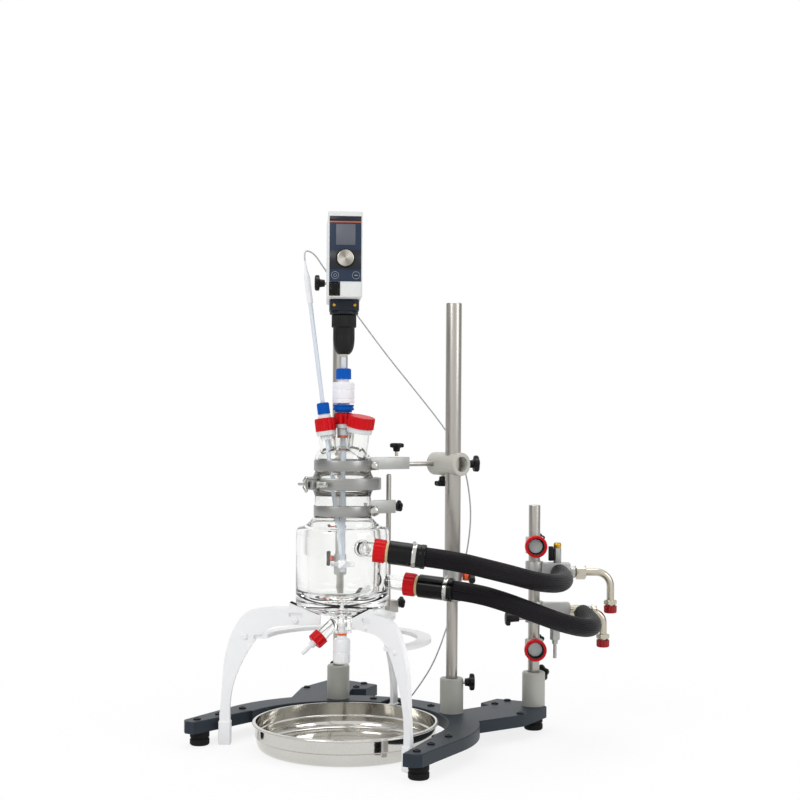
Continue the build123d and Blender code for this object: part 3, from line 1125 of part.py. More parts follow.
# Parking ports: a collar on the hose column with a stopped spigot to the front
with BuildPart() as parking_ports:
    for height in PARKING_Z:
        with BuildSketch(level(manifold_point(0, 0, height - 17))):
            Circle(MANIFOLD_COLLAR_D / 2)
        extrude(amount=34)
        with BuildSketch(facing(manifold_point(0, 0, height), MANIFOLD_ANGLE - 90)):
            Circle(14)
        extrude(amount=PARKING_REACH - 19)
        with BuildSketch(facing(manifold_point(0, PARKING_REACH - 22, height), MANIFOLD_ANGLE - 90)):
            Circle(17)
        extrude(amount=16)
        with BuildSketch(facing(manifold_point(0, PARKING_REACH - 12, height), MANIFOLD_ANGLE - 90)):
            Circle(15.5)
        extrude(amount=8, mode=Mode.SUBTRACT)
        with BuildSketch(level(manifold_point(0, 0, height - 30))):
            Circle(HOSE_ROD_D / 2 + SEATED)
        extrude(amount=60, mode=Mode.SUBTRACT)
save(parking_ports.part, "parking_ports")

# Hose manifolds: a collar, a block with a front port, valve stub on the upper and drain stub on the lower
with BuildPart() as hose_manifolds:
    for height, block_end, reach in OUTLETS.values():
        low = height - MANIFOLD_TALL / 2
        with BuildSketch(level(manifold_point(0, 0, low))):
            Circle(MANIFOLD_COLLAR_D / 2)
        extrude(amount=MANIFOLD_TALL)
        with BuildSketch(level(manifold_point(0, 0, low + 3), MANIFOLD_ANGLE)):
            with Locations(((MANIFOLD_START + block_end) / 2, 0)):
                Rectangle(block_end - MANIFOLD_START, MANIFOLD_DEEP)
        extrude(amount=MANIFOLD_TALL - 6)
        with BuildSketch(facing(manifold_point(block_end, 0, height), MANIFOLD_ANGLE)):
            Circle(11)
        extrude(amount=12)
        with BuildSketch(level(manifold_point(0, 0, low - 5))):
            Circle(HOSE_ROD_D / 2 + SEATED)
        extrude(amount=MANIFOLD_TALL + 10, mode=Mode.SUBTRACT)
    with BuildSketch(level(manifold_point(VENT_ACROSS, 0, UPPER_MANIFOLD_Z + 19))):
        Circle(6)
    extrude(amount=33)
    with BuildSketch(level(manifold_point(VENT_ACROSS, 0, UPPER_MANIFOLD_Z + 52))):
        Circle(8)
    extrude(amount=9)
    with BuildSketch(level(manifold_point(DRAIN_ACROSS, 0, LOWER_MANIFOLD_Z - 19))):
        RegularPolygon(9, 6)
    extrude(amount=-40)
    with BuildSketch(level(manifold_point(DRAIN_ACROSS, 0, LOWER_MANIFOLD_Z - 59))):
        Circle(6)
    extrude(amount=-8)
    with BuildSketch(level(manifold_point(DRAIN_ACROSS, 0, LOWER_MANIFOLD_Z - 67))):
        Circle(4)
    extrude(amount=-30)
    lower_low = manifold_point(0, 0, LOWER_MANIFOLD_Z - 14)
    with BuildSketch(facing(lower_low, 180)):
        Circle(KNOB_SCREW_D / 2 + RUNNING)
    extrude(amount=MANIFOLD_COLLAR_D, mode=Mode.SUBTRACT)
    for middle, out in ((manifold_point(VENT_ACROSS, 0, UPPER_MANIFOLD_Z + VENT_VALVE_UP), 180.0), (manifold_point(DRAIN_ACROSS, 0, DRAIN_VALVE_Z), 90.0)):
        with BuildSketch(facing(middle, MANIFOLD_ANGLE + out)):
            Circle(2.5 + RUNNING)
        extrude(amount=12, mode=Mode.SUBTRACT)
save(hose_manifolds.part, "hose_manifolds")

manifold_seat = facing(lower_low, 180).offset(MANIFOLD_COLLAR_D / 2)
save(star_knob(manifold_seat, (MANIFOLD_COLLAR_D - HOSE_ROD_D) / 2 - 2 * SEATED, 0.8), "manifold_knob")


def valve_lever(plane, wall, towards):
    """A small black valve lever on its stem; the plane is on the valve's axis, normal outwards."""
    with BuildPart() as lever:
        with BuildSketch(plane.offset(2)):
            Circle(2.5)
        extrude(amount=wall + 2)
        arm = Plane(origin=plane.origin + plane.z_dir * (wall + 1.5), x_dir=towards, z_dir=plane.z_dir)
        with BuildSketch(arm):
            with Locations((VALVE_LEVER_LONG / 2 - 6, 0)):
                SlotOverall(VALVE_LEVER_LONG, 11)
        extrude(amount=6)
    return lever.part


upper_valve = facing(manifold_point(VENT_ACROSS, 0, UPPER_MANIFOLD_Z + VENT_VALVE_UP), MANIFOLD_ANGLE + 180)
save(valve_lever(upper_valve, 7, (0, 0, 1)), "upper_valve_lever")
lower_valve = facing(manifold_point(DRAIN_ACROSS, 0, DRAIN_VALVE_Z), MANIFOLD_ANGLE + 90)
save(valve_lever(lower_valve, 9, (0, 0, -1)), "lower_valve_lever")

# Outlet elbows: a union nut, a bent tube that turns down, and a hex at its end
with BuildPart() as outlet_elbows:
    for height, block_end, reach in OUTLETS.values():
        start = manifold_point(block_end + 12, 0, height)
        corner = manifold_point(reach, 0, height)
        finish = manifold_point(reach, 0, height - ELBOW_BEND - ELBOW_DROP)
        with BuildLine() as bend:
            FilletPolyline(start, corner, finish, radius=min(ELBOW_BEND, 0.95 * (corner - start).length))
        with BuildSketch(facing(start, MANIFOLD_ANGLE)):
            Circle(ELBOW_D / 2)
        sweep(path=bend.wires()[0])
        with BuildSketch(facing(start, MANIFOLD_ANGLE)):
            RegularPolygon(13, 6)
        extrude(amount=9)
        with BuildSketch(level(finish + (0, 0, 2))):
            RegularPolygon(12, 6)
        extrude(amount=10)
save(outlet_elbows.part, "outlet_elbows")

# Heating hoses and the probe's cable
save(free_tube(UPPER_ROUTE, HOSE_D, "upper_hose"), "upper_hose")
save(free_tube(LOWER_ROUTE, HOSE_D, "lower_hose"), "lower_hose")
save(free_tube(CABLE_ROUTE, CABLE_D, "probe_cable"), "probe_cable")

# Connector on the cable's far end, lying on the base plate
with BuildPart() as cable_plug:
    plug_way = Vector(*CABLE_ROUTE[-1]) - Vector(*CABLE_ROUTE[-2])
    plug_plane = Plane(origin=CABLE_ROUTE[-1], z_dir=plug_way)
    add(turned([(0, 0), (2.6, 0), (PLUG_D / 2, 4), (PLUG_D / 2, PLUG_LONG - 8), (3.6, PLUG_LONG - 8), (3.6, PLUG_LONG),
                (0, PLUG_LONG)], plug_plane))
save(cable_plug.part, "cable_plug")
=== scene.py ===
# %% [markdown]
# # A jacketed glass reactor on its stand
# The CAD model gives every piece its place and its size, in one shared frame.
# This lesson dresses it: round glass, brushed steel, moulded plastic and braided hose.
# Everything is in metres in Blender, so the helpers below take millimetres and convert them.

# %% Load the frame and set up millimetre helpers
import json
from math import cos, pi, radians, sin

import bmesh
import bpy
from mathutils import Matrix, Vector

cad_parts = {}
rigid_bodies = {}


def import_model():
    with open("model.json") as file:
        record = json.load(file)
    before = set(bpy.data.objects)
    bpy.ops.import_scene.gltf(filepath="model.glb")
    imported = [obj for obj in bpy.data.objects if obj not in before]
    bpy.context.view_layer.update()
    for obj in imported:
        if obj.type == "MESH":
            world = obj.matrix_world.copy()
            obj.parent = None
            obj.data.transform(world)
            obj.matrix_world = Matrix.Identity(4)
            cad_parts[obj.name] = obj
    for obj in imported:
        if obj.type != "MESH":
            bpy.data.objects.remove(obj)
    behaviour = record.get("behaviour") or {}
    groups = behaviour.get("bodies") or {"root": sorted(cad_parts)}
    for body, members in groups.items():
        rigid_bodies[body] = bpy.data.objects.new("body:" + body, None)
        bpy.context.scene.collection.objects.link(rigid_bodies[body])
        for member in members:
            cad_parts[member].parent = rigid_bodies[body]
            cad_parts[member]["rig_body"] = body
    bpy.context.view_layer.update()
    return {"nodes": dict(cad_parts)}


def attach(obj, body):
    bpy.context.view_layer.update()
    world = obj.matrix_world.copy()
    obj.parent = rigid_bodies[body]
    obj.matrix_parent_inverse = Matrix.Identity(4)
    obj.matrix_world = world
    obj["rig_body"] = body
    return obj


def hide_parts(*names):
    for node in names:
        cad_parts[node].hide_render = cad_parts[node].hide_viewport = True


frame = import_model()
nodes = frame["nodes"]
MM = 0.001
VESSEL = Vector((-135.0, -84.0, 0.0))
ARM_ANGLE = 28.6
UP = Vector((0, 0, 1))


def from_axis(x, y, height):
    """A point in millimetres, by its distances from the vessel's axis and its height."""
    return VESSEL + Vector((x, y, height))


def around(angle, radius, height):
    """A point in millimetres at a compass angle and radius round the vessel's axis."""
    return from_axis(radius * cos(radians(angle)), radius * sin(radians(angle)), height)


def compass(angle):
    """A level unit vector at a compass angle."""
    return Vector((cos(radians(angle)), sin(radians(angle)), 0))


# %% [markdown]
# ## The camera stands where the photographer stood
# The picture was taken from far away with a long lens, level, a little to the left of the glass.
# The lens shift moves the horizon down without tilting the camera, so upright tubes stay upright.

# %% Camera
eye = bpy.data.cameras.new("eye")
eye.lens = 63.27
eye.sensor_width = 36.0
eye.shift_y = 0.0309
camera = bpy.data.objects.new("eye", eye)
bpy.context.scene.collection.objects.link(camera)
heading = Matrix.Rotation(radians(-4.0), 4, "Z") @ Matrix.Rotation(radians(90), 4, "X")
camera.matrix_world = (Matrix.Translation((from_axis(-81.4, -2757, 633.5)) * MM)
                       @ heading @ Matrix.Rotation(radians(0.36), 4, "Z"))
bpy.context.scene.camera = camera
print("camera at", [round(v, 3) for v in camera.matrix_world.translation])

# %% [markdown]
# ## Cords first: two heating hoses and the probe's cable
# A hose is a smooth line with a skin round it. The line is a NURBS spline through few control points.
# Blender turns that spline into a plain line of points, and the skin follows those points.

# %% The three routes, in millimetres
UPPER_ROUTE = [(15, -204, 385), (73, -214, 378), (129, -210, 364), (185, -192, 349), (229, -165, 335),
               (272, -127, 325), (303, -78, 322), (318, -22, 325), (317, 35, 329)]
LOWER_ROUTE = [(64, -154, 318), (116, -172.3, 313), (172, -176, 297), (229, -166, 275), (292, -143, 250),
               (350, -101, 233), (376, -44, 235), (365, 31, 246)]
CABLE_ROUTE = [(-212, -93.6, 952), (-214.3, -93.1, 970), (-204, -58, 976), (-190, -10, 972), (-178, 32, 959),
               (-165, 63, 945), (-146, 75, 917), (-124, 79, 888), (-102, 77, 859), (-42, 62, 777),
               (18, 45, 702), (78, 29, 625), (103, 29, 582), (120, 28, 537), (128, 26, 492), (131, 24, 446),
               (127, 23, 398), (118, 22, 350), (107, 23, 303), (95, 24, 258), (81, 26, 214), (68, 34, 172),
               (53, 51, 132), (34, 75, 95), (18, 92, 68), (10, 101, 56.4), (8, 114, 56.2)]


def spline_curve(name, route):
    """A NURBS curve of order three whose control points are the route, in metres."""
    curve = bpy.data.curves.new(name, "CURVE")
    curve.dimensions = "3D"
    spline = curve.splines.new("NURBS")
    spline.points.add(len(route) - 1)
    for control, place in zip(spline.points, route):
        control.co = (place[0] * MM, place[1] * MM, place[2] * MM, 1)
    spline.order_u = 3
    spline.use_endpoint_u = True
    spline.resolution_u = 16
    return curve


def line_points(route):
    """The points of the smooth line that the spline makes."""
    holder = bpy.data.objects.new("line", spline_curve("line", route))
    bpy.context.scene.collection.objects.link(holder)
    bpy.context.view_layer.update()
    seen = holder.evaluated_get(bpy.context.evaluated_depsgraph_get())
    mesh = bpy.data.meshes.new_from_object(seen)
    places = [v.co.copy() for v in mesh.vertices]
    bpy.data.objects.remove(holder)
    bpy.data.meshes.remove(mesh)
    return places


def length_of(places):
    """The length of a line of points."""
    return sum((b - a).length for a, b in zip(places, places[1:]))


upper_line = line_points(UPPER_ROUTE)
lower_line = line_points(LOWER_ROUTE)
print("hose lines:", round(length_of(upper_line), 3), round(length_of(lower_line), 3), "m")

# %% [markdown]
# ## Mesh helpers
# Most of this reactor is round: glass, tubes, caps and knobs. A lathe helper turns an outline about an
# axis, rounds its corners a little so that they catch the light, and can wave the radius for ribs.

# %% Mesh helpers
scene_items = bpy.context.scene.collection.objects


def sharpen(bm, angle=32):
    """Smooth faces, with the edges that really turn kept crisp."""
    limit = radians(angle)
    for face in bm.faces:
        face.smooth = True
    for edge in bm.edges:
        edge.smooth = len(edge.link_faces) != 2 or edge.calc_face_angle(0) < limit


def make_object(name, bm, angle=32):
    """A new object at the origin from a finished bmesh."""
    sharpen(bm, angle)
    mesh = bpy.data.meshes.new(name)
    bm.to_mesh(mesh)
    bm.free()
    piece = bpy.data.objects.new(name, mesh)
    scene_items.link(piece)
    return piece


def softened(outline, size):
    """The outline with each real corner cut into a small three-point round."""
    result = []
    count = len(outline)
    for index in range(count):
        before, here, after = (Vector(outline[(index + k) % count]) for k in (-1, 0, 1))
        back, ahead = before - here, after - here
        on_axis = here.x < 0.01
        if on_axis or back.length < 1e-6 or ahead.length < 1e-6 or abs(back.angle(ahead) - pi) < 0.25:
            result.append(tuple(here))
            continue
        reach = min(size, back.length * 0.4, ahead.length * 0.4)
        first = here + back.normalized() * reach
        last = here + ahead.normalized() * reach
        result += [tuple(first), tuple((first + last) * 0.25 + here * 0.5), tuple(last)]
    return result


def lathe_mesh(outline, at=(0, 0, 0), axis=UP, steps=96, soft=0.5, wave=None, arc=360.0, start=0.0):
    """A bmesh turned from a closed (radius, height) outline in millimetres."""
    outline = softened(outline, soft) if soft > 0 else list(outline)
    turn = Matrix.Identity(3) if axis is UP else Vector(axis).to_track_quat("Z", "X").to_matrix()
    origin = Vector(at)
    whole = arc > 359.9
    stops = steps if whole else steps + 1
    bm = bmesh.new()
    rings = []
    for radius, height in outline:
        ring = []
        for step in range(1 if radius < 0.01 else stops):
            angle = radians(start + arc * step / steps)
            reach = radius if wave is None or radius < 0.01 else wave(radius, height, angle)
            place = origin + turn @ Vector((reach * cos(angle), reach * sin(angle), height))
            ring.append(bm.verts.new(place * MM))
        rings.append(ring)
    for lower, upper in zip(rings, rings[1:] + rings[:1]):
        if len(lower) == 1 and len(upper) == 1:
            continue
        for step in range(steps):
            nxt = (step + 1) % stops if whole else step + 1
            corners = [lower[0 if len(lower) == 1 else step], lower[0 if len(lower) == 1 else nxt],
                       upper[0 if len(upper) == 1 else nxt], upper[0 if len(upper) == 1 else step]]
            bm.faces.new(list(dict.fromkeys(corners)))
    if not whole:
        bm.faces.new([ring[0] for ring in rings])
        bm.faces.new([ring[-1] for ring in reversed(rings)])
    bmesh.ops.recalc_face_normals(bm, faces=bm.faces)
    return bm


def lathe(name, outline, at=(0, 0, 0), axis=UP, angle=32, **more):
    """A turned piece."""
    return make_object(name, lathe_mesh(outline, at, axis, **more), angle)


def bar(radius, low, high, hole=0.0):
    """The outline of a round bar or tube."""
    if hole > 0:
        return [(hole, low), (radius, low), (radius, high), (hole, high)]
    return [(0, low), (radius, low), (radius, high), (0, high)]


def block(name, size, at, angle=0.0, bevel=0.8, segments=3, tilt=None):
    """A box with rounded edges, its size in millimetres, turned to a compass angle."""
    bm = bmesh.new()
    bmesh.ops.create_cube(bm, size=1.0)
    bmesh.ops.scale(bm, vec=Vector(size), verts=bm.verts)
    bmesh.ops.bevel(bm, geom=bm.edges[:], offset=bevel, segments=segments, profile=0.5, affect="EDGES")
    turn = Matrix.Rotation(radians(angle), 4, "Z")
    if tilt is not None:
        turn = turn @ tilt
    bmesh.ops.transform(bm, matrix=Matrix.Scale(MM, 4) @ Matrix.Translation(Vector(at)) @ turn,
                        verts=bm.verts)
    bmesh.ops.recalc_face_normals(bm, faces=bm.faces)
    return make_object(name, bm, 50)


def joined(name, parts):
    """Several objects as one piece."""
    bm = bmesh.new()
    for part in parts:
        bm.from_mesh(part.data)
        bpy.data.objects.remove(part)
    mesh = bpy.data.meshes.new(name)
    bm.to_mesh(mesh)
    bm.free()
    piece = bpy.data.objects.new(name, mesh)
    scene_items.link(piece)
    return piece


def cut(piece, tools, operation="DIFFERENCE", angle=32):
    """The piece after a boolean with each tool, as one plain mesh again."""
    for tool in tools:
        step = piece.modifiers.new("cut", "BOOLEAN")
        step.operation = operation
        step.solver = "EXACT"
        step.object = tool
    bpy.context.view_layer.update()
    seen = piece.evaluated_get(bpy.context.evaluated_depsgraph_get())
    mesh = bpy.data.meshes.new_from_object(seen)
    piece.modifiers.clear()
    bm = bmesh.new()
    bm.from_mesh(mesh)
    bmesh.ops.remove_doubles(bm, verts=bm.verts, dist=1e-6)
    sharpen(bm, angle)
    bm.to_mesh(mesh)
    bm.free()
    piece.data = mesh
    for tool in tools:
        bpy.data.objects.remove(tool)
    return piece


def tube_along(name, places, radius, steps=24, wave=None, closed_ends=True):
    """A skin round a line of points in metres, with UVs in metres along it and turns round it."""
    bm = bmesh.new()
    layer = bm.loops.layers.uv.new("along")
    heads = [(places[min(i + 1, len(places) - 1)] - places[max(i - 1, 0)]).normalized()
             for i in range(len(places))]
    side = heads[0].orthogonal().normalized()
    rings, marks, run = [], [], 0.0
    for index, (place, head) in enumerate(zip(places, heads)):
        side = (side - head * side.dot(head)).normalized()
        over = head.cross(side)
        if index:
            run += (place - places[index - 1]).length
        marks.append(run)
        ring = []
        for step in range(steps):
            angle = 2 * pi * step / steps
            reach = radius if wave is None else wave(angle, run)
            ring.append(bm.verts.new(place + (side * cos(angle) + over * sin(angle)) * reach))
        rings.append(ring)
    for index in range(len(rings) - 1):
        for step in range(steps):
            nxt = (step + 1) % steps
            face = bm.faces.new([rings[index][step], rings[index][nxt], rings[index + 1][nxt],
                                 rings[index + 1][step]])
            uvs = [(marks[index], step / steps), (marks[index], (step + 1) / steps),
                   (marks[index + 1], (step + 1) / steps), (marks[index + 1], step / steps)]
            for loop, uv in zip(face.loops, uvs):
                loop[layer].uv = uv
    if closed_ends:
        bm.faces.new(list(reversed(rings[0])))
        bm.faces.new(rings[-1])
    bmesh.ops.recalc_face_normals(bm, faces=bm.faces)
    return make_object(name, bm, 50)


def dressed_copy(node, bevel=0.0, angle=30, segments=2):
    """A merged, smoothed copy of a CAD node, with its sharp edges rounded if a bevel is given."""
    bm = bmesh.new()
    bm.from_mesh(nodes[node].data)
    bmesh.ops.remove_doubles(bm, verts=bm.verts, dist=2e-6)
    bmesh.ops.dissolve_limit(bm, angle_limit=radians(0.6), verts=bm.verts, edges=bm.edges)
    piece = make_object(node + "_dressed", bm, angle)
    if bevel > 0:
        step = piece.modifiers.new("round", "BEVEL")
        step.width = bevel * MM
        step.segments = segments
        step.limit_method = "ANGLE"
        step.angle_limit = radians(angle)
        step.use_clamp_overlap = True
        bpy.context.view_layer.update()
        seen = piece.evaluated_get(bpy.context.evaluated_depsgraph_get())
        mesh = bpy.data.meshes.new_from_object(seen)
        piece.modifiers.clear()
        bm = bmesh.new()
        bm.from_mesh(mesh)
        sharpen(bm, angle + 12)
        bm.to_mesh(mesh)
        bm.free()
        piece.data = mesh
    return piece


def place(piece, node, material=None, body=None, stands_for=None):
    """Give a piece its body and its finish, and hide the CAD nodes that it stands for."""
    if material is not None:
        piece.data.materials.clear()
        piece.data.materials.append(material)
    names = [node] if stands_for is None else stands_for
    if names:
        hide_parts(*names)
    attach(piece, body or nodes[node]["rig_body"])
    return piece


print("helpers ready")

# %% [markdown]
# ## Shared effects as shader node groups
# Real surfaces are never one flat value. One group gives soft patches of tone, a change of gloss and a
# fine relief. It is built once, and each material places it with its own sizes. Stretching its
# coordinates turns round grain into the long streaks of brushed steel.

# %% The surface group
def new_group(name, inputs, outputs):
    """An empty shader group with named sockets."""
    tree = bpy.data.node_groups.new(name, "ShaderNodeTree")
    for label, kind, value in inputs:
        socket = tree.interface.new_socket(name=label, in_out="INPUT", socket_type=kind)
        if value is not None:
            socket.default_value = value
    for label, kind in outputs:
        tree.interface.new_socket(name=label, in_out="OUTPUT", socket_type=kind)
    return tree, tree.nodes.new("NodeGroupInput"), tree.nodes.new("NodeGroupOutput")


FLOAT, COLOUR, VECTOR = "NodeSocketFloat", "NodeSocketColor", "NodeSocketVector"


def new_node(tree, kind, **values):
    """A shader node with the values of its named inputs set."""
    made = tree.nodes.new("ShaderNode" + kind)
    for label, value in values.items():
        made.inputs[label.replace("_", " ")].default_value = value
    return made


def wire(tree, *pairs):
    """Links from outputs to inputs."""
    for start, end in pairs:
        tree.links.new(start, end)


def calculate(tree, operation, *sources):
    """The result of a Math node whose inputs are outputs of other nodes or plain numbers."""
    made = tree.nodes.new("ShaderNodeMath")
    made.operation = operation
    for slot, source in zip(made.inputs, sources):
        if isinstance(source, bpy.types.NodeSocket):
            tree.links.new(source, slot)
        else:
            slot.default_value = source
    return made.outputs[0]


def ramp(tree, value, ends, smooth=False):
    """A value mapped from one range to another. The ends are from low, from high, to low, to high."""
    made = tree.nodes.new("ShaderNodeMapRange")
    if smooth:
        made.interpolation_type = "SMOOTHSTEP"
    for label, end in zip(("From Min", "From Max", "To Min", "To Max"), ends):
        made.inputs[label].default_value = end
    tree.links.new(value, made.inputs["Value"])
    return made.outputs["Result"]


def blend_tones(tree, share, first, second, way="MIX"):
    """Two tones mixed, or multiplied, by a share."""
    made = tree.nodes.new("ShaderNodeMix")
    made.data_type = "RGBA"
    made.blend_type = way
    wire(tree, (first, made.inputs["A"]), (second, made.inputs["B"]))
    if isinstance(share, bpy.types.NodeSocket):
        tree.links.new(share, made.inputs["Factor"])
    else:
        made.inputs["Factor"].default_value = share
    return made.outputs["Result"]


def mix_shaders(tree, share, first, second, target):
    """Two shaders mixed by a share and led to a surface."""
    made = tree.nodes.new("ShaderNodeMixShader")
    wire(tree, (share, made.inputs["Fac"]), (first, made.inputs[1]), (second, made.inputs[2]),
         (made.outputs["Shader"], target))


def add_relief(tree, height, strength, distance):
    """Fine relief from a height, led to the shader's normal."""
    bump = new_node(tree, "Bump", Strength=strength, Distance=distance)
    wire(tree, (height, bump.inputs["Height"]),
         (bump.outputs["Normal"], tree.nodes["Principled BSDF"].inputs["Normal"]))


surface, given, made = new_group(
    "surface",
    [("Place", VECTOR, None), ("Tone", COLOUR, (0.5, 0.5, 0.5, 1)),
     ("Other tone", COLOUR, (0.4, 0.4, 0.4, 1)), ("Patch", FLOAT, 20.0),
     ("Grain", FLOAT, 900.0), ("Roughness", FLOAT, 0.4), ("Spread", FLOAT, 0.1)],
    [("Tone", COLOUR), ("Roughness", FLOAT), ("Height", FLOAT)])
patches = new_node(surface, "TexNoise", Detail=3.0)
fine = new_node(surface, "TexNoise", Detail=2.0)
for noise, size in ((patches, "Patch"), (fine, "Grain")):
    wire(surface, (given.outputs["Place"], noise.inputs["Vector"]), (given.outputs[size],
                                                                     noise.inputs["Scale"]))
both = calculate(surface, "ADD", patches.outputs["Fac"], fine.outputs["Fac"])
half = calculate(surface, "MULTIPLY", both, 0.5)
blend = blend_tones(surface, half, given.outputs["Tone"], given.outputs["Other tone"])
spread = calculate(surface, "MULTIPLY_ADD", half, given.outputs["Spread"], given.outputs["Roughness"])
wire(surface, (blend, made.inputs["Tone"]), (spread, made.inputs["Roughness"]), (fine.outputs["Fac"],
                                                                                 made.inputs["Height"]))
print("surface group:", len(surface.nodes), "nodes")

# %% [markdown]
# ## A material maker
# Each finish is a Principled shader with the surface group in front of it. The tones are written as
# they look on screen, from 0 to 255, and turned into Blender's linear values.

# %% Materials
def screen(red, green, blue):
    """A colour as seen on screen, made linear."""
    return tuple(((v / 255 + 0.055) / 1.055) ** 2.4 if v > 10 else v / 3295 for v in (red, green,
                                                                                      blue)) + (1.0,)


def new_material(name):
    """A material, its node tree and its Principled shader."""
    material = bpy.data.materials.new(name)
    material.use_nodes = True
    return material, material.node_tree, material.node_tree.nodes["Principled BSDF"]


def surface_effect(tree, where, **values):
    """The surface group at a place, with its input values set."""
    effect = tree.nodes.new("ShaderNodeGroup")
    effect.node_tree = surface
    for label, value in values.items():
        effect.inputs[label.replace("_", " ")].default_value = value
    tree.links.new(where, effect.inputs["Place"])
    return effect


def finish(name, tone, other, rough=0.4, spread=0.12, patch=20.0, grain=900.0, relief=0.1, metal=0.0,
           stretch=(1, 1, 1), coat=0.0, shine=0.5):
    """A Principled material whose tone, gloss and relief vary over the surface."""
    material, tree, shader = new_material(name)
    where = new_node(tree, "TexCoord")
    mapping = new_node(tree, "Mapping", Scale=stretch)
    effect = surface_effect(tree, mapping.outputs["Vector"], Tone=screen(*tone), Other_tone=screen(*other),
                            Patch=patch, Grain=grain, Roughness=rough, Spread=spread)
    wire(tree, (where.outputs["Object"], mapping.inputs["Vector"]),
         (effect.outputs["Tone"], shader.inputs["Base Color"]),
         (effect.outputs["Roughness"], shader.inputs["Roughness"]))
    add_relief(tree, effect.outputs["Height"], relief, 0.0004)
    for label, value in (("Metallic", metal), ("Coat Weight", coat), ("Coat Roughness", 0.08),
                         ("Specular IOR Level", shine)):
        shader.inputs[label].default_value = value
    return material


ALONG_Z = (1, 1, 0.012)
ROUND_Z = (0.02, 0.02, 1)
slate_paint = finish("slate_paint", (39, 49, 58), (31, 40, 49), 0.36, 0.16, 9, 1500, 0.22, shine=0.26)
black_rubber = finish("black_rubber", (8, 8, 9), (17, 17, 18), 0.6, 0.2, 60, 1400, 0.3, shine=0.2)
black_screw = finish("black_screw", (7, 7, 8), (16, 16, 17), 0.32, 0.2, 90, 1800, 0.1, shine=0.25)
socket_grey = finish("socket_grey", (180, 181, 174), (166, 167, 160), 0.4, 0.14, 25, 1600, 0.16)
clamp_grey = finish("clamp_grey", (197, 197, 188), (184, 184, 175), 0.38, 0.12, 25, 1600, 0.14)
steel_along = finish("steel_along", (196, 192, 186), (148, 145, 139), 0.24, 0.2, 260, 1500, 0.05, 1.0,
                     ALONG_Z)
satin_round = finish("satin_round", (172, 172, 170), (134, 134, 132), 0.28, 0.16, 260, 1500, 0.08, 1.0,
                     ROUND_Z)
cast_steel = finish("cast_steel", (190, 191, 188), (160, 161, 158), 0.36, 0.16, 70, 1500, 0.16, 0.9)
bright_steel = finish("bright_steel", (206, 205, 200), (172, 171, 166), 0.14, 0.12, 40, 900, 0.02, 1.0)
pan_steel = finish("pan_steel", (214, 212, 206), (190, 188, 182), 0.05, 0.08, 14, 300, 0.015, 1.0)
nickel = finish("nickel", (205, 198, 182), (176, 170, 156), 0.22, 0.16, 90, 1200, 0.06, 1.0)
brass = finish("brass", (214, 172, 60), (176, 132, 36), 0.22, 0.16, 80, 1200, 0.06, 1.0)
black_knob = finish("black_knob", (8, 8, 9), (17, 17, 18), 0.36, 0.2, 60, 1700, 0.2, shine=0.25)
gloss_black = finish("gloss_black", (4, 4, 5), (8, 8, 9), 0.14, 0.1, 40, 700, 0.05, shine=0.2)
nose_plastic = finish("nose_plastic", (18, 24, 33), (26, 33, 43), 0.34, 0.16, 40, 1700, 0.14, shine=0.25)
white_plastic = finish("white_plastic", (244, 245, 246), (236, 237, 239), 0.32, 0.12, 8, 1400, 0.06,
                       coat=0.15)
housing_white = finish("housing_white", (228, 230, 228), (218, 220, 219), 0.4, 0.14, 12, 1700, 0.12)
gland_white = finish("gland_white", (243, 243, 246), (230, 231, 236), 0.34, 0.14, 30, 1300, 0.06)
thread_white = finish("thread_white", (226, 229, 230), (206, 210, 212), 0.24, 0.14, 60, 900, 0.06, coat=0.4)
probe_coat = finish("probe_coat", (217, 224, 233), (204, 212, 222), 0.3, 0.14, 20, 900, 0.05, coat=0.2)
red_plastic = finish("red_plastic", (214, 0, 18), (188, 0, 10), 0.3, 0.14, 30, 1200, 0.06, shine=0.2)
dark_red = finish("dark_red", (166, 3, 14), (138, 0, 8), 0.32, 0.14, 30, 1200, 0.06, shine=0.35)
blue_plastic = finish("blue_plastic", (0, 92, 188), (0, 78, 168), 0.32, 0.14, 30, 1200, 0.06, shine=0.1)
orange_plastic = finish("orange_plastic", (240, 96, 30), (222, 80, 20), 0.34, 0.14, 30, 1200, 0.06)
seal_silicone = finish("seal_silicone", (226, 214, 196), (210, 196, 176), 0.4, 0.14, 30, 1200, 0.06)
cream_ferrule = finish("cream_ferrule", (222, 198, 150), (200, 174, 124), 0.36, 0.14, 60, 1200, 0.1)
panel_blue = finish("panel_blue", (36, 51, 72), (31, 45, 65), 0.3, 0.1, 20, 1400, 0.03, shine=0.3)
panel_dark = finish("panel_dark", (29, 33, 43), (24, 28, 37), 0.32, 0.1, 20, 1400, 0.03, shine=0.3)
panel_line = finish("panel_line", (184, 190, 200), (168, 174, 184), 0.4, 0.1, 20, 1400, 0.03)
stripe_orange = finish("stripe_orange", (204, 104, 40), (190, 92, 32), 0.34, 0.1, 20, 1400, 0.03)
screen_glass = finish("screen_glass", (100, 103, 113), (92, 95, 105), 0.42, 0.06, 12, 900, 0.01, shine=0.3)
cable_grey = finish("cable_grey", (190, 192, 195), (172, 174, 178), 0.42, 0.14, 40, 1200, 0.08)
print("materials:", len(bpy.data.materials))

# %% [markdown]
# ## Glass that lets light through
# Borosilicate glass bends light and is almost colourless, with a faint warm green at its edges. Light
# rays that only test for shadow pass straight through, so the glass casts no heavy shadow.

# %% Glass material
GLASS_IOR = 1.47


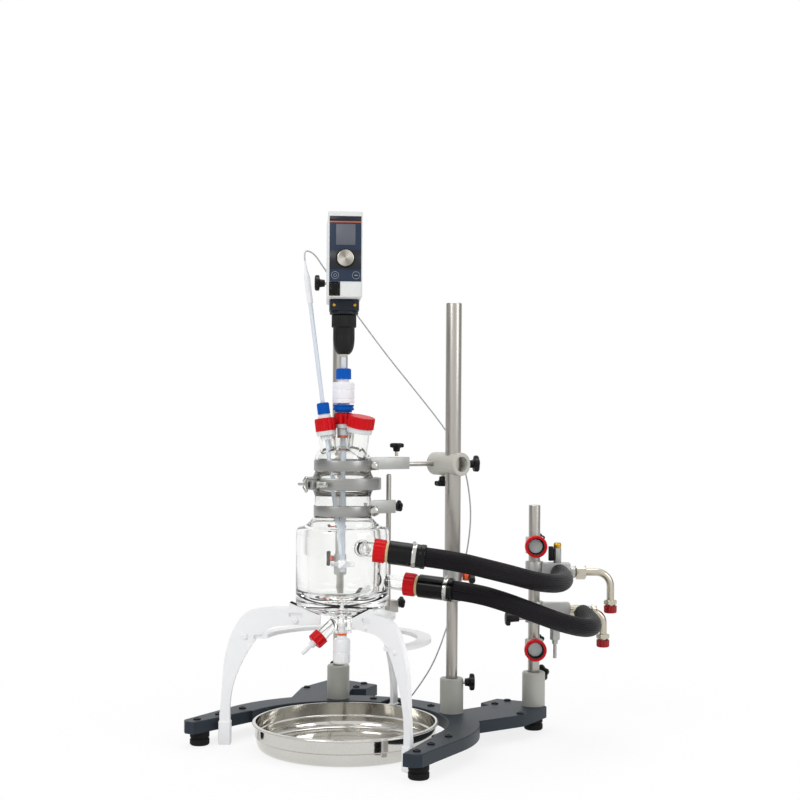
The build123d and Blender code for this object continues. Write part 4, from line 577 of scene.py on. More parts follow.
def glass_material(name, tint):
    """Clear glass with a light shadow."""
    material, tree, shader = new_material(name)
    for label, value in (("Base Color", tint), ("Transmission Weight", 1.0), ("Roughness", 0.0),
                         ("IOR", GLASS_IOR)):
        shader.inputs[label].default_value = value
    clear = new_node(tree, "BsdfTransparent", Color=(0.93, 0.94, 0.93, 1))
    ray = new_node(tree, "LightPath")
    mix_shaders(tree, ray.outputs["Is Shadow Ray"], shader.outputs["BSDF"], clear.outputs["BSDF"],
                tree.nodes["Material Output"].inputs["Surface"])
    where = new_node(tree, "TexCoord")
    effect = surface_effect(tree, where.outputs["Object"], Patch=14.0, Grain=30.0)
    add_relief(tree, effect.outputs["Height"], 0.06, 0.002)
    return material


clear_glass = glass_material("clear_glass", (0.968, 0.974, 0.964, 1))
print("glass IOR", GLASS_IOR)

# %% [markdown]
# ## The hoses' braid
# The heating hoses wear a black and purple sleeve with fine ribs along its length. The ribs near the
# eye are real relief in the skin. Stripes on the skin's own UVs give a weave pattern, and with it painted
# shade in the grooves and a painted highlight along the ribs.

# %% Hose skins and cable
def braid_material():
    """Ribs along the hose, and stripes read from the UV map: a weave pattern with painted shade in the
    grooves and a painted highlight on the ribs.
    """
    material = finish("hose_braid", (17, 12, 19), (7, 5, 8), 0.36, 0.16, 30, 500, 0.3, shine=0.16)
    tree = material.node_tree
    uv = new_node(tree, "UVMap")
    uv.uv_map = "along"
    scale = new_node(tree, "Mapping", Scale=(24.0, 17.6, 1.0))
    waves = new_node(tree, "TexWave", Scale=1.0, Distortion=2.4, Detail=3.0)
    waves.bands_direction = "Y"
    effect = next(n for n in tree.nodes if n.type == "GROUP")
    wire(tree, (uv.outputs["UV"], scale.inputs["Vector"]), (scale.outputs["Vector"], waves.inputs["Vector"]))
    # Painted light, partly: these stripes scale the tone from 0.3 to 1.9 times, part weave pattern and part
    # painted groove shade and rib highlight.
    strength = ramp(tree, waves.outputs["Fac"], (0.0, 1.0, 0.3, 1.9))
    tone_with_painted_light = blend_tones(tree, 1.0, effect.outputs["Tone"], strength, "MULTIPLY")
    wire(tree, (tone_with_painted_light, tree.nodes["Principled BSDF"].inputs["Base Color"]))
    add_relief(tree, waves.outputs["Fac"], 0.5, 0.0006)
    return material


hose_braid = braid_material()


def ribs(angle, run):
    """Twenty-eight rounded ribs along the hose, turning a little round it."""
    return 0.0176 + 0.0009 * abs(cos(14 * angle + 1.5 * run))


for node, line, route in (("upper_hose", upper_line, UPPER_ROUTE), ("lower_hose", lower_line, LOWER_ROUTE)):
    hose = place(tube_along(node + "_braid", line, 0.0185, 168, ribs), node, hose_braid)
    print(node, round(length_of(line), 3), "m")

cable_line = line_points(CABLE_ROUTE)
cable_curve = spline_curve("probe_cable_skin", CABLE_ROUTE)
cable_curve.bevel_depth = 0.0015
cable_curve.bevel_resolution = 5
cable_curve.use_fill_caps = True
cable = bpy.data.objects.new("probe_cable_skin", cable_curve)
scene_items.link(cable)
place(cable, "probe_cable", cable_grey)
plug_way = (Vector(CABLE_ROUTE[-1]) - Vector(CABLE_ROUTE[-2])).normalized()
plug = lathe("cable_plug_shell", [(0, 0), (2.2, 0), (3.2, 6), (4.3, 8), (4.3, 22), (3.5, 22.5), (3.5, 29.5),
                                  (2.9, 30), (2.9, 26), (0, 26)], CABLE_ROUTE[-1], plug_way, steps=48,
             soft=0.3)
place(plug, "cable_plug", black_knob)
print("probe cable", round(length_of(cable_line), 3), "m")

# %% [markdown]
# ## The base plate and what stands on it
# The plate is cut from thick steel and powder coated. Its outline and edges come from the CAD solid,
# with no bevel added. The feet, sockets and columns are turned again with more steps, so that
# their outlines are truly round.

# %% Base plate, feet and sockets
place(dressed_copy("base_plate", 0.0), "base_plate", slate_paint)
OPEN_AXIS = 55.0
PLATE_TOP = 51
FEET = [(281.0, 117.1), (281.0, -117.1), (432.0, 34.6), (432.0, -34.6)]
feet = [lathe("foot", [(0, 0), (17, 0), (19.4, 2.5), (19.4, 12), (17.6, 13), (17.6, 15), (19.2, 16),
                       (19.2, 27), (0, 27)], around(OPEN_AXIS + angle, radius, 0), steps=64, soft=0.6)
        for radius, angle in FEET]
place(joined("rubber_feet", feet), "base_feet", black_rubber)
REAR, MAIN, HOSE = (90.0, 244.5), (20.0, 240.0), (20.0, 430.0)
SOCKET_BORES = ((REAR, 11.6), (MAIN, 11.6), (HOSE, 12.1))
sockets = [lathe("socket", [(rod, 52), (23.7, 52), (23.7, 118.5), (22.2, 121), (rod + 2.2, 121),
                            (rod, 119.5)], around(*spot, 0), steps=96, soft=0.7) for spot,
           rod in SOCKET_BORES]
flanges = [lathe("flange", bar(23.9, PLATE_TOP, PLATE_TOP + 1.2, rod), around(*spot, 0), steps=96, soft=0.2)
           for spot, rod in SOCKET_BORES]
place(joined("sockets", sockets + flanges), "column_sockets", socket_grey)
rods = [lathe("rod", [(0, 59), (radius, 59), (radius, top - 1), (radius - 1, top), (0, top)],
              around(*spot, 0), steps=96, soft=0.3) for spot, radius, top in ((REAR, 11.5, 640),
                                                                              (MAIN, 11.5, 520), (HOSE, 12.0,
                                                                                                  468))]
place(joined("lower_rods", rods), "column_rods", steel_along)
print("feet and sockets turned:", len(FEET), "and", len(sockets))

# %% [markdown]
# ## Screws by Geometry Nodes
# Fourteen black socket screws sit in the plate. Geometry Nodes put one screw on every point of a small
# mesh of points. The tree has named inputs for the screw, its size and its material, and it ends in
# Realize Instances and Set Material, so that the export sees plain geometry.

# %% The repeat tree
def repeat_tree():
    """Instances of one item on every point, turned to the point's own direction."""
    tree = bpy.data.node_groups.new("repeat_item", "GeometryNodeTree")
    face = tree.interface
    face.new_socket(name="Geometry", in_out="INPUT", socket_type="NodeSocketGeometry")
    face.new_socket(name="Item", in_out="INPUT", socket_type="NodeSocketObject")
    face.new_socket(name="Size", in_out="INPUT", socket_type="NodeSocketFloat").default_value = 1.0
    face.new_socket(name="Finish", in_out="INPUT", socket_type="NodeSocketMaterial")
    face.new_socket(name="Geometry", in_out="OUTPUT", socket_type="NodeSocketGeometry")
    start, end = tree.nodes.new("NodeGroupInput"), tree.nodes.new("NodeGroupOutput")
    item = tree.nodes.new("GeometryNodeObjectInfo")
    direction = tree.nodes.new("GeometryNodeInputNamedAttribute")
    direction.data_type = "FLOAT_VECTOR"
    direction.inputs["Name"].default_value = "direction"
    align = tree.nodes.new("FunctionNodeAlignEulerToVector")
    align.axis = "Z"
    instance = tree.nodes.new("GeometryNodeInstanceOnPoints")
    realize = tree.nodes.new("GeometryNodeRealizeInstances")
    colour = tree.nodes.new("GeometryNodeSetMaterial")
    link = tree.links.new
    link(start.outputs["Geometry"], instance.inputs["Points"])
    link(start.outputs["Item"], item.inputs["Object"])
    link(item.outputs["Geometry"], instance.inputs["Instance"])
    link(direction.outputs["Attribute"], align.inputs["Vector"])
    link(align.outputs["Rotation"], instance.inputs["Rotation"])
    link(start.outputs["Size"], instance.inputs["Scale"])
    link(instance.outputs["Instances"], realize.inputs["Geometry"])
    link(realize.outputs["Geometry"], colour.inputs["Geometry"])
    link(start.outputs["Finish"], colour.inputs["Material"])
    link(colour.outputs["Geometry"], end.inputs["Geometry"])
    return tree


repeat = repeat_tree()


def repeated(name, item, spots, material, size=1.0):
    """A plain mesh of the item on every (point, direction) spot, in millimetres."""
    mesh = bpy.data.meshes.new(name)
    mesh.from_pydata([Vector(point) * MM for point, _ in spots], [], [])
    facing = mesh.attributes.new("direction", "FLOAT_VECTOR", "POINT")
    for entry, (_, direction) in zip(facing.data, spots):
        entry.vector = direction
    piece = bpy.data.objects.new(name, mesh)
    scene_items.link(piece)
    step = piece.modifiers.new("repeat", "NODES")
    step.node_group = repeat
    sockets = {s.name: s.identifier for s in repeat.interface.items_tree if s.in_out == "INPUT"}
    step[sockets["Item"]] = item
    step[sockets["Size"]] = size
    step[sockets["Finish"]] = material
    bpy.context.view_layer.update()
    seen = piece.evaluated_get(bpy.context.evaluated_depsgraph_get())
    plain = bpy.data.meshes.new_from_object(seen)
    piece.modifiers.clear()
    piece.data = plain
    bpy.data.objects.remove(item)
    return piece


def hex_wave(flat):
    """Turns a circle into a hexagon with that distance from its middle to its flats."""
    def wave(radius, height, angle):
        return radius if radius > flat * 1.3 else radius / cos((angle % (pi / 3)) - pi / 6)

    return wave


# %% Socket screws in the plate
def plate_point(radius, angle):
    """A place on the plate, by radius and angle from its middle line."""
    return around(OPEN_AXIS + angle, radius, PLATE_TOP)


def extension_point(out, inward, side):
    """A place on a plate extension, out along its column line and inward to the middle line."""
    half_turn = radians(35.0)
    along = out * cos(half_turn) + inward * sin(half_turn)
    across = side * (out * sin(half_turn) - inward * cos(half_turn))
    return VESSEL + compass(OPEN_AXIS) * along + compass(OPEN_AXIS + 90) * across + UP * PLATE_TOP


PLATE_SCREWS = ((241, 17), (241, 90.5), (256, 107), (285, 118.5))
EXTENSION_SCREWS = ((362, 43), (362, -66), (402, 62))
screw_spots = [(plate_point(r, s * a), UP) for r, a in PLATE_SCREWS for s in (1, -1)]
screw_spots += [(extension_point(o, i, s), UP) for o, i in EXTENSION_SCREWS for s in (1, -1)]
socket_screw = lathe("socket_screw", [(0, -9), (7.4, -9), (7.4, 2.2), (6.6, 3), (3.6, 3), (3.6, -1), (0, -1)],
                     steps=48, soft=0.3, wave=hex_wave(3.6))
place(repeated("plate_screws", socket_screw, screw_spots, black_screw), "base_screws")
print("socket screws:", len(screw_spots))

# %% [markdown]
# ## Columns that slide
# Each upper tube ends in a turned collar with a clamp lever. The tubes are ground along their length,
# and the collars are turned, so their grain runs round them.

# %% Upper tubes, collars and levers
TELESCOPES = {"rear": (REAR, 301, 1000, 176.0, 90.0), "main": (MAIN, 277, 881, -4.0, 20.0)}
for name, (spot, low, top, lever_angle, lean) in TELESCOPES.items():
    foot = around(*spot, 0)
    tube = lathe(name + "_column", [(12, low + 56), (16, low + 56), (16, top - 1.2), (14.8, top), (3, top),
                                    (3, top - 4), (2.4, top - 5), (0, top - 5), (0, top - 7), (12, top - 7)],
                 foot, steps=96, soft=0.3)
    place(tube, name + "_tube", steel_along)
    collar = lathe(name + "_clamp_collar", [(11.6, low), (18.5, low), (20, low + 1.5), (20, low + 24),
                                            (19.2, low + 25), (19.2, low + 62.5), (18.2, low + 64),
                                            (16.1, low + 64), (16.1, low + 56.2), (11.6, low + 56.2)], foot,
                   steps=96, soft=0.4)
    place(collar, name + "_collar", cast_steel)
    out = compass(lever_angle)
    across = compass(lever_angle + 90)
    way = across * cos(radians(lean)) + UP * sin(radians(lean))
    seat = foot + UP * (low + 50) + out * 20
    washer = lathe("washer", bar(8.6, 0.4, 4.4), seat, out, steps=48, soft=0.4)
    hub = lathe("hub", [(0, 4.5), (9.5, 4.5), (9.5, 12.4), (8.2, 13.4), (0, 13.4)], seat, out, steps=64,
                soft=0.5)
    handle = lathe("handle", [(0, -23.5), (5.4, -23.2), (7, -20.5), (7, 20.5), (5.4, 23.2), (0, 23.5)],
                   seat + out * 19, way, steps=48, soft=1.2)
    washer.data.materials.append(dark_red)
    hub.data.materials.append(orange_plastic)
    handle.data.materials.append(black_knob)
    place(washer, name + "_lever", dark_red, stands_for=[])
    place(hub, name + "_lever", orange_plastic, stands_for=[])
    place(handle, name + "_lever", black_knob)
print("telescopes dressed:", len(TELESCOPES))

# %% [markdown]
# ## Star knobs
# All clamping is done with black five-lobed knobs. A lathe with a waved radius makes the lobes: the
# radius swells five times per turn on the head and stays round on the hub.

# %% Star knobs
def knob_head(name, seat, direction, size=1.0, out=0.0):
    """A lobed head and its hub. Out is how far the head stands off further."""
    rim = 17.5 * size

    def lobes(radius, height, angle):
        share = max(0.0, (radius - 10.5 * size) / (7.0 * size))
        return radius - share * 3.6 * size * (0.5 - 0.5 * cos(5 * angle)) ** 1.4

    low, top = 3 + 9.5 * size + out, 3 + 20 * size + out
    outline = [(0, 3 + out * 0.5), (7.4 * size, 3 + out * 0.5), (8.6 * size, low - 1.5),
               (11 * size, low - 0.4), (rim - 1.6, low), (rim, low + 1.8 * size), (rim, top - 3.2 * size),
               (rim - 2.2 * size, top - 0.8 * size), (10 * size, top), (4.5 * size, top - 0.6),
               (0, top - 0.9)]
    return lathe(name, outline, seat, direction, steps=120, soft=0.6, wave=lobes, angle=48)


def star_knob(node, seat, direction, size=1.0, out=0.0):
    """A knob's head and a short steel screw, on the body of its node."""
    head = knob_head(node + "_head", seat, direction, size, out)
    screw = lathe(node + "_screw", bar(3.9 * size, -6, 3.4 + out), seat, direction, steps=32, soft=0.2)
    screw.data.materials.append(nickel)
    place(screw, node, nickel, stands_for=[])
    return place(head, node, black_knob)


SOCKET_KNOBS = {"rear": (REAR, 90.0), "main": (MAIN, -4.0), "hose": (HOSE, 57.0)}
for name, (spot, angle) in SOCKET_KNOBS.items():
    star_knob(name + "_socket_knob", around(*spot, 112) + compass(angle) * 23.7, compass(angle))
ARM_HEIGHT = 554.5
crossing = around(ARM_ANGLE, 240.0 * cos(radians(8.6)), ARM_HEIGHT)
star_knob("cross_clamp_knob", crossing - UP * 23.5, -UP)
side_out = 23.5 / sin(radians(62.0)) + 4
star_knob("cross_clamp_side_knob", around(*MAIN, ARM_HEIGHT) + compass(6) * side_out, compass(6))
star_knob("lid_arm_knob", around(ARM_ANGLE, 124, 576.8), UP, 0.85)
star_knob("neck_knob", around(ARM_ANGLE, 118, 470), compass(ARM_ANGLE), 0.68)
star_knob("side_rod_knob", around(ARM_ANGLE, 125, 276), compass(ARM_ANGLE), 0.68)
star_knob("motor_bracket_knob", around(*REAR, 934) - Vector((29, 0, 0)), Vector((-1, 0, 0)), out=4)
star_knob("manifold_knob", around(*HOSE, 232) - Vector((18.5, 0, 0)), Vector((-1, 0, 0)), 0.95, out=20)
PORT_HEIGHTS = (384.5, 171.4)
COLLAR_RADIUS = 18.5
behind = compass(66)
port_knobs = [knob_head("port_knob", around(*HOSE, height + 10) + behind * COLLAR_RADIUS, behind, 0.66, 14)
              for height in PORT_HEIGHTS]
place(joined("port_knob_heads", port_knobs), "parking_ports", black_knob, stands_for=[])
print("star knobs: 10, and", len(port_knobs), "small ones behind the ports")

# %% [markdown]
# ## Cross clamp, rods and bands
# The cross clamp is a painted casting, so its CAD form is kept and its edges are rounded. The bands are
# thin polished strips, and each has a domed screw beside its block.

# %% Clamp, arms and bands
place(dressed_copy("cross_clamp", 0.8, 34, 3), "cross_clamp", clamp_grey)
side_rod = lathe("side_rod", [(0, 270), (5, 270), (5, 532), (3.4, 534.6), (0, 535)],
                 around(ARM_ANGLE, 106, 0), steps=48, soft=0.6)
arm_rod = lathe("arm_rod", bar(5, 118, 262), VESSEL + UP * ARM_HEIGHT, compass(ARM_ANGLE), steps=48, soft=0.4)
foot_block = block("foot_block", (20, 18, 24), around(ARM_ANGLE, 115, 270), ARM_ANGLE, 0.6)
foot_plate = block("foot_plate", (5, 18, 24), around(ARM_ANGLE, 107.8, 248), ARM_ANGLE, 0.5)
place(joined("arm_rods", [side_rod, arm_rod, foot_block, foot_plate]), "support_rods", steel_along)
blocks, strips, domes = [], [], []
for low, high, block_low, block_high, end in ((543, 563.5, 544.6, 568.8, 150), (455, 475, 457, 483, 118)):
    strips.append(lathe("strip", bar(57.0, low, high, 55.8), VESSEL, steps=128, soft=0.35))
    middle = (block_low + block_high) / 2
    blocks.append(block("band_block", (end - 58, 17, block_high - block_low), around(ARM_ANGLE,
                                                                                     (end + 58) / 2, middle),
                        ARM_ANGLE, 0.7))
    blocks.append(block("band_ear", (17, 6, high - low - 3), around(-4, 62, (low + high) / 2), -4, 1.2))
    domes.append((around(-14, 62.5, (low + high) / 2 - 1), compass(-80)))
place(joined("neck_bands", strips), "support_bands", satin_round)
place(joined("band_blocks", blocks), "support_bands", cast_steel, stands_for=[])
for spot, wide in zip(domes, (8.0, 10.0)):
    dome = lathe("dome", [(0, -3), (wide, -3), (wide, 0.5), (wide * 0.8, 2.8), (wide * 0.43, 4.0), (0, 4.4)],
                 steps=48, soft=0.4)
    place(repeated("band_screws", dome, [spot], bright_steel), "support_bands", stands_for=[])
print("bands:", len(strips))

# %% [markdown]
# ## The glass vessel
# The jacketed vessel is one piece of blown glass. An outer form with its ports is joined first, and then
# the inner space, the jacket's space and the bores are taken out, so light meets real walls.

# %% Vessel
def curve_between(start, end, bulge, count=8):
    """Points of a soft quarter turn between two outline points."""
    a, b, c = Vector(start), Vector(bulge), Vector(end)
    return [tuple(a.lerp(b, t).lerp(b.lerp(c, t), t)) for t in (i / count for i in range(count + 1))]


outer = [(0, 226), (19, 226), (19, 248), *curve_between((19, 248), (43, 262), (19, 254), 5), (85, 278.5),
         *curve_between((85, 278.5), (91, 292), (91, 281), 6),
         *curve_between((91, 418), (84, 433), (91, 431), 8),
         *curve_between((75, 434.4), (55, 455), (61, 446), 8), (55, 493),
         *curve_between((55.6, 495), (67.5, 512.5), (58, 506), 6), (67.5, 517), (0, 517)]
inner = [(0, 284), (10, 284), *curve_between((12, 284), (70, 312), (66, 288), 9),
         *curve_between((70, 415), (50, 453), (65, 439), 9), (50, 520), (0, 520)]
jacket = [(26, 263.5), (46, 267), (84, 282), *curve_between((84, 283), (87, 294), (87, 286), 4),
          *curve_between((87, 413), (80, 426), (87, 425), 5), (76, 425), (73.5, 417), (73.5, 312),
          *curve_between((73.5, 310), (52, 286), (68, 290), 5), (26, 279)]
UPPER_NOZZLE, LOWER_NOZZLE = Vector(UPPER_ROUTE[0]), Vector(LOWER_ROUTE[0])
upper_way = (Vector(UPPER_ROUTE[1]) - UPPER_NOZZLE).normalized()
lower_way = (Vector(LOWER_ROUTE[1]) - LOWER_NOZZLE).normalized()
elbow = UPPER_NOZZLE - upper_way * 110
elbow_out = Vector((elbow.x - VESSEL.x, elbow.y - VESSEL.y, 0)).normalized()
upper_root = VESSEL + elbow_out * 88 + UP * elbow.z
upper_end = UPPER_NOZZLE - upper_way * 64
lower_end = LOWER_NOZZLE - lower_way * 64
lower_flat = Vector((LOWER_NOZZLE.x - VESSEL.x, LOWER_NOZZLE.y - VESSEL.y, 0)).dot(lower_way)
lower_root = LOWER_NOZZLE - lower_way * (lower_flat - 88)
drain_way = Vector((cos(radians(200)) * 0.766, sin(radians(200)) * 0.766, -0.643))
drain_root = VESSEL + UP * 258


def stick(name, start, end, radius, steps=48):
    """A plain round bar between two points."""
    run = end - start
    return lathe(name, bar(radius, 0, run.length), start, run, steps=steps, soft=0)


def ball(name, at, radius):
    """A round ball, for the outside or the inside of an elbow."""
    half_circle = [(radius * cos(radians(a)), radius * sin(radians(a))) for a in range(-90, 91, 10)]
    half_circle[0], half_circle[-1] = (0, -radius), (0, radius)
    return lathe(name, half_circle, at, steps=48, soft=0)


glass = lathe("vessel_glass", outer, VESSEL, steps=144, soft=0)
bead = lathe("bead", [(0, -4), (16.5, -4), (17, 0), (15.6, 3.4), (13, 6), (0, 6)],
             VESSEL + elbow_out * 90.5 + UP * elbow.z, elbow_out, steps=48, soft=0.8)
cut(glass, [stick("port", upper_root, elbow, 14), ball("elbow", elbow, 14.01),
            stick("stub", elbow, upper_end, 14.005), bead, stick("port", lower_root, lower_end, 14),
            stick("drain", drain_root, drain_root + drain_way * 72, 12)], "UNION")
cut(glass, [lathe("inner", inner, VESSEL, steps=144, soft=0),
            lathe("jacket", jacket, VESSEL, steps=144, soft=0),
            stick("bore", upper_root - elbow_out * 5, elbow, 11.4), ball("bend", elbow, 11.41),
            stick("bore", elbow, upper_end + upper_way, 11.405),
            stick("bore", lower_root - lower_way * 5, lower_end + lower_way, 11.4),
            lathe("outlet", bar(8, 220, 286), VESSEL, steps=48, soft=0),
            stick("drain_bore", drain_root, drain_root + drain_way * 74, 4)])
place(glass, "vessel", clear_glass)
print("vessel glass faces:", len(glass.data.polygons))

# %% [markdown]
# ## The glass lid
# The lid is a low dome with three necks. The necks lean outwards, so they are sticks set on tilted axes,
# joined to the dome before the hollow is taken out.

# %% Lid
probe_base = from_axis(-28.9, -19.5, 582)
probe_end = from_axis(-77.0, -9.6, 952)
probe_way = (probe_end - probe_base).normalized()
lean_angle, lean = radians(-47), radians(13)
wide_base = around(-47, 35.5, 582)
wide_way = Vector((cos(lean_angle) * sin(lean), sin(lean_angle) * sin(lean), cos(lean)))
dome_outer = [(0, 519), (67.5, 519), (67.5, 522.5), *curve_between((67, 525.5), (55, 541.5), (58, 530), 6),
              (55, 562), *curve_between((55, 566), (36, 587), (53, 583), 8), (20, 591), (0, 592)]
dome_inner = [(0, 515), (50, 515), (50, 566), *curve_between((50, 567), (33, 583), (48, 580), 6), (18, 587),
              (0, 588)]
lid = lathe("lid_glass", dome_outer, VESSEL, steps=144, soft=0)
cut(lid, [stick("centre", VESSEL + UP * 570, VESSEL + UP * 652, 14.5),
          stick("left", probe_base - probe_way * 12, probe_base + probe_way * 62, 16),
          stick("right", wide_base - wide_way * 12, wide_base + wide_way * 58, 21.5, 64)], "UNION")
cut(lid, [lathe("hollow", dome_inner, VESSEL, steps=144, soft=0),
          stick("centre", VESSEL + UP * 560, VESSEL + UP * 660, 12.3),
          stick("left", probe_base - probe_way * 22, probe_base + probe_way * 70, 13),
          stick("right", wide_base - wide_way * 22, wide_base + wide_way * 66, 18.5, 64)])
place(lid, "glass_lid", clear_glass)
ring = lathe("flange_seal", bar(65.5, 517, 519, 51), VESSEL, steps=128, soft=0.3)
outlet_ring = lathe("outlet_ring", bar(9.5, 221, 226, 6.4), VESSEL, steps=64, soft=0.6)
place(ring, "seals", seal_silicone)
place(outlet_ring, "seals", orange_plastic, stands_for=[])
print("lid glass faces:", len(lid.data.polygons))

# %% [markdown]
# ## The flange clamp
# A steel ring with a V-shaped groove pulls the two flanges together. It is open where its screw is, so
# the lathe turns less than a full circle. Two ears, a bolt and a wing nut close the gap.

# %% Flange clamp and wing nut
BOLT_ANGLE = 229.0
BOLT_RADIUS = 89
FLANGE_HEIGHT = 518
CLAMP_GAP = 6.0
clamp_outline = [(63.5, 506.5), (74, 506.5), (75, 508), (75, 528), (74, 529.5), (63.5, 529.5), (63.5, 527.5),
                 (67.8, 523.4), (67.8, 512.6), (63.5, 508.6)]
clamp_ring = lathe("clamp_ring", clamp_outline, VESSEL, steps=150, soft=0.5, arc=360.0 - CLAMP_GAP,
                   start=BOLT_ANGLE + CLAMP_GAP / 2)
middle = around(BOLT_ANGLE, BOLT_RADIUS, FLANGE_HEIGHT)
along = compass(BOLT_ANGLE - 90)
ears = [block("ear", (32, 6, 15), middle + along * side * 6 - compass(BOLT_ANGLE) * 3, BOLT_ANGLE, 1.0)
        for side in (1, -1)]
bolt = lathe("bolt", [(0, -15), (4.4, -15), (4.4, -10), (2.95, -9.4), (2.95, 36), (2.2, 38), (0, 38)],
             middle, along, steps=40, soft=0.4)
bolt_head = lathe("bolt_head", [(0, -33), (4.8, -33), (6.2, -31.4), (6.2, -19), (5.2, -18.4), (5.2, -16.8),
                                (6.4, -16.2), (6.4, -10), (0, -10)], middle, along, steps=48, soft=0.5)
place(joined("clamp_steel", [clamp_ring, *ears]), "flange_clamp", satin_round)
place(joined("clamp_bolt", [bolt, bolt_head]), "flange_clamp", bright_steel, stands_for=[])
wings = [lathe("wing_hub", bar(6, 9.3, 18.3, 3.1), middle, along, steps=40, soft=0.6)]
for side in (1, -1):
    tilt = Matrix.Rotation(radians(-38 * side), 4, "X")
    wings.append(block("wing", (4, 7, 14), middle + along * 20.6 + UP * side * 9.2, BOLT_ANGLE, 1.6,
                       tilt=tilt))
place(joined("wing_nut", wings), "clamp_wing_nut", bright_steel)
print("clamp opens", CLAMP_GAP, "degrees")

# %% [markdown]
# ## Ribbed caps and nuts
# Red and blue screw caps have ribs for the fingers. The lathe's radius dips between the ribs, and the
# top of each cap has a soft shoulder.

# %% Caps and nuts
def cap_piece(name, at, way, outer_r, tall, hole, ribs_count, groove=1.7):
    """A ribbed cap with a rounded shoulder and an optional hole."""
    def ribbed(radius, height, angle):
        if radius < outer_r - 1.8 or height < 1.2 or height > tall - 1.4:
            return radius
        return radius - groove * (1 - (0.5 + 0.5 * cos(ribs_count * angle)) ** 3)

    top = [(outer_r - 0.2, tall - 2.4), (outer_r - 1.6, tall - 0.5), (outer_r - 3.0, tall)]
    outline = [(hole, tall * 0.35), (outer_r - 2.6, tall * 0.35), (outer_r - 2.6, 0), (outer_r, 0),
               (outer_r, 2.0), (outer_r - 0.1, 2.4), *top]
    outline += [(hole, tall)]
    return lathe(name, outline, at, way, steps=ribs_count * 14, soft=0.35, wave=ribbed, angle=40)


caps = [cap_piece("centre_cap", VESSEL + UP * 634, UP, 18.5, 22, 12.3, 15),
        cap_piece("probe_cap", probe_base + probe_way * 39, probe_way, 20.5, 25, 13, 16),
        cap_piece("drain_cap", drain_root + drain_way * 56, drain_way, 16.5, 20, 7, 12)]
place(joined("red_caps", caps), "red_screw_caps", red_plastic)
wide = cap_piece("wide_red_cap", wide_base + wide_way * 47, wide_way, 27, 22, 0, 20, 1.8)
place(wide, "wide_cap", red_plastic)
threads = [lathe("thread_ring", [(hole, 0), (hole + 2.8, 0), (hole + 3.2, 1.2), (hole + 3.2, tall),
                                 (hole, tall)], at, way, steps=96, soft=0.5) for at, way, hole,
           tall in ((VESSEL + UP * 626, UP, 14.6, 8), (probe_base + probe_way * 30, probe_way, 16.1, 9),
                    (wide_base + wide_way * 37, wide_way, 21.6, 10))]
place(joined("thread_rings", threads), "seals", thread_white, stands_for=[])
o_ring = lathe("o_ring", [(6.4, 607), (11.2, 607), (11.9, 608.5), (11.9, 610.3), (11.2, 611.8),
                          (6.4, 611.8)], VESSEL, steps=64, soft=0.6)
place(o_ring, "seals", orange_plastic, stands_for=[])
stirrer_nut = lathe("stirrer_nut", [(12.4, 657), (17, 657), (17, 660.5), (20.8, 661.5), (20.8, 665),
                                    (19.6, 666), (19.6, 668), (20.8, 669), (20.8, 672), (12.4, 672)], VESSEL,
                    steps=120, soft=0.4)
top_nut = cap_piece("top_nut", VESSEL + UP * 722, UP, 15, 21, 5.3, 18, 0.7)
probe_nut = cap_piece("probe_nut", probe_base + probe_way * 72, probe_way, 12.5, 22, 4.5, 16, 0.7)
place(joined("blue_nuts", [stirrer_nut, top_nut, probe_nut]), "gland_nuts", blue_plastic)


def key_slots(radius, height, angle):
    """Four upright finger grooves in the big white gland."""
    if radius < 20.5 or height < 690 or height > 712:
        return radius
    return radius - 1.3 * (0.5 + 0.5 * cos(4 * angle + 0.9)) ** 12


gland = lathe("stirrer_gland", [(5.1, 612), (12.1, 612), (12.1, 675), (21.7, 675), (21.7, 681.5),
                                (21.1, 682.2), (21.1, 683.2), (21.7, 684), (21.7, 700), (21.2, 700.6),
                                (21.2, 701.4), (21.7, 702), (21.7, 713), (19.7, 716), (11, 716), (11, 730),
                                (5.1, 730)], VESSEL, steps=144, soft=0.4, wave=key_slots)
sleeve = lathe("probe_sleeve", [(4.3, 22), (12.8, 22), (12.8, 69), (10, 71), (10, 86), (4.3, 86)],
               probe_base, probe_way, steps=64, soft=0.5)
stub = lathe("drain_stub", [(2, 60), (3.9, 60), (3.9, 72), (6.8, 72.2), (6.8, 84), (3.6, 86), (3.6, 97),
                            (4.3, 97.5), (3.4, 101), (4.3, 101.5), (3.2, 105), (3.8, 105.5), (3, 108),
                            (2, 108)], drain_root, drain_way, steps=48, soft=0.2)
place(joined("white_glands", [gland, sleeve, stub]), "gland_bodies", gland_white)
print("caps:", len(caps) + 1, "and blue nuts: 3")

# %% [markdown]
# ## Probe, shaft and stirring head
# The probe is a slim coated tube with a moulded handle. The shaft is a coated rod that ends in a pitched
# impeller with curved blades.

# %% Probe, shaft and impeller
long = (probe_end - probe_base).length
probe_tube = [(0, -206), (2.5, -205.4), (4.2, -200), (4.2, long - 80), (0, long - 80)]
handle = [(0, long - 84), (4.9, long - 84), (5.8, long - 82.5), (5.8, long - 66), (5.4, long - 65),
          (5.4, long - 64), (5.8, long - 63), (5.8, long - 30), (4.6, long - 27.5), (2.7, long - 15),
          (1.8, long - 3), (1.7, long), (0, long)]
place(lathe("probe_body", probe_tube, probe_base, probe_way, steps=48, soft=0.5), "probe", probe_coat)
place(lathe("probe_handle", handle, probe_base, probe_way, steps=48, soft=0.4), "probe", gland_white,
      stands_for=[])
place(lathe("coated_shaft", [(0, 344), (5, 344), (5, 811), (4.2, 812), (0, 812)], VESSEL, steps=64,
            soft=0.4), "stirrer_shaft", probe_coat)
hub = lathe("hub", [(5.1, 351), (7, 351), (9, 353), (9, 366), (7, 369), (5.1, 369)], VESSEL, steps=64,
            soft=0.6)
blades = []
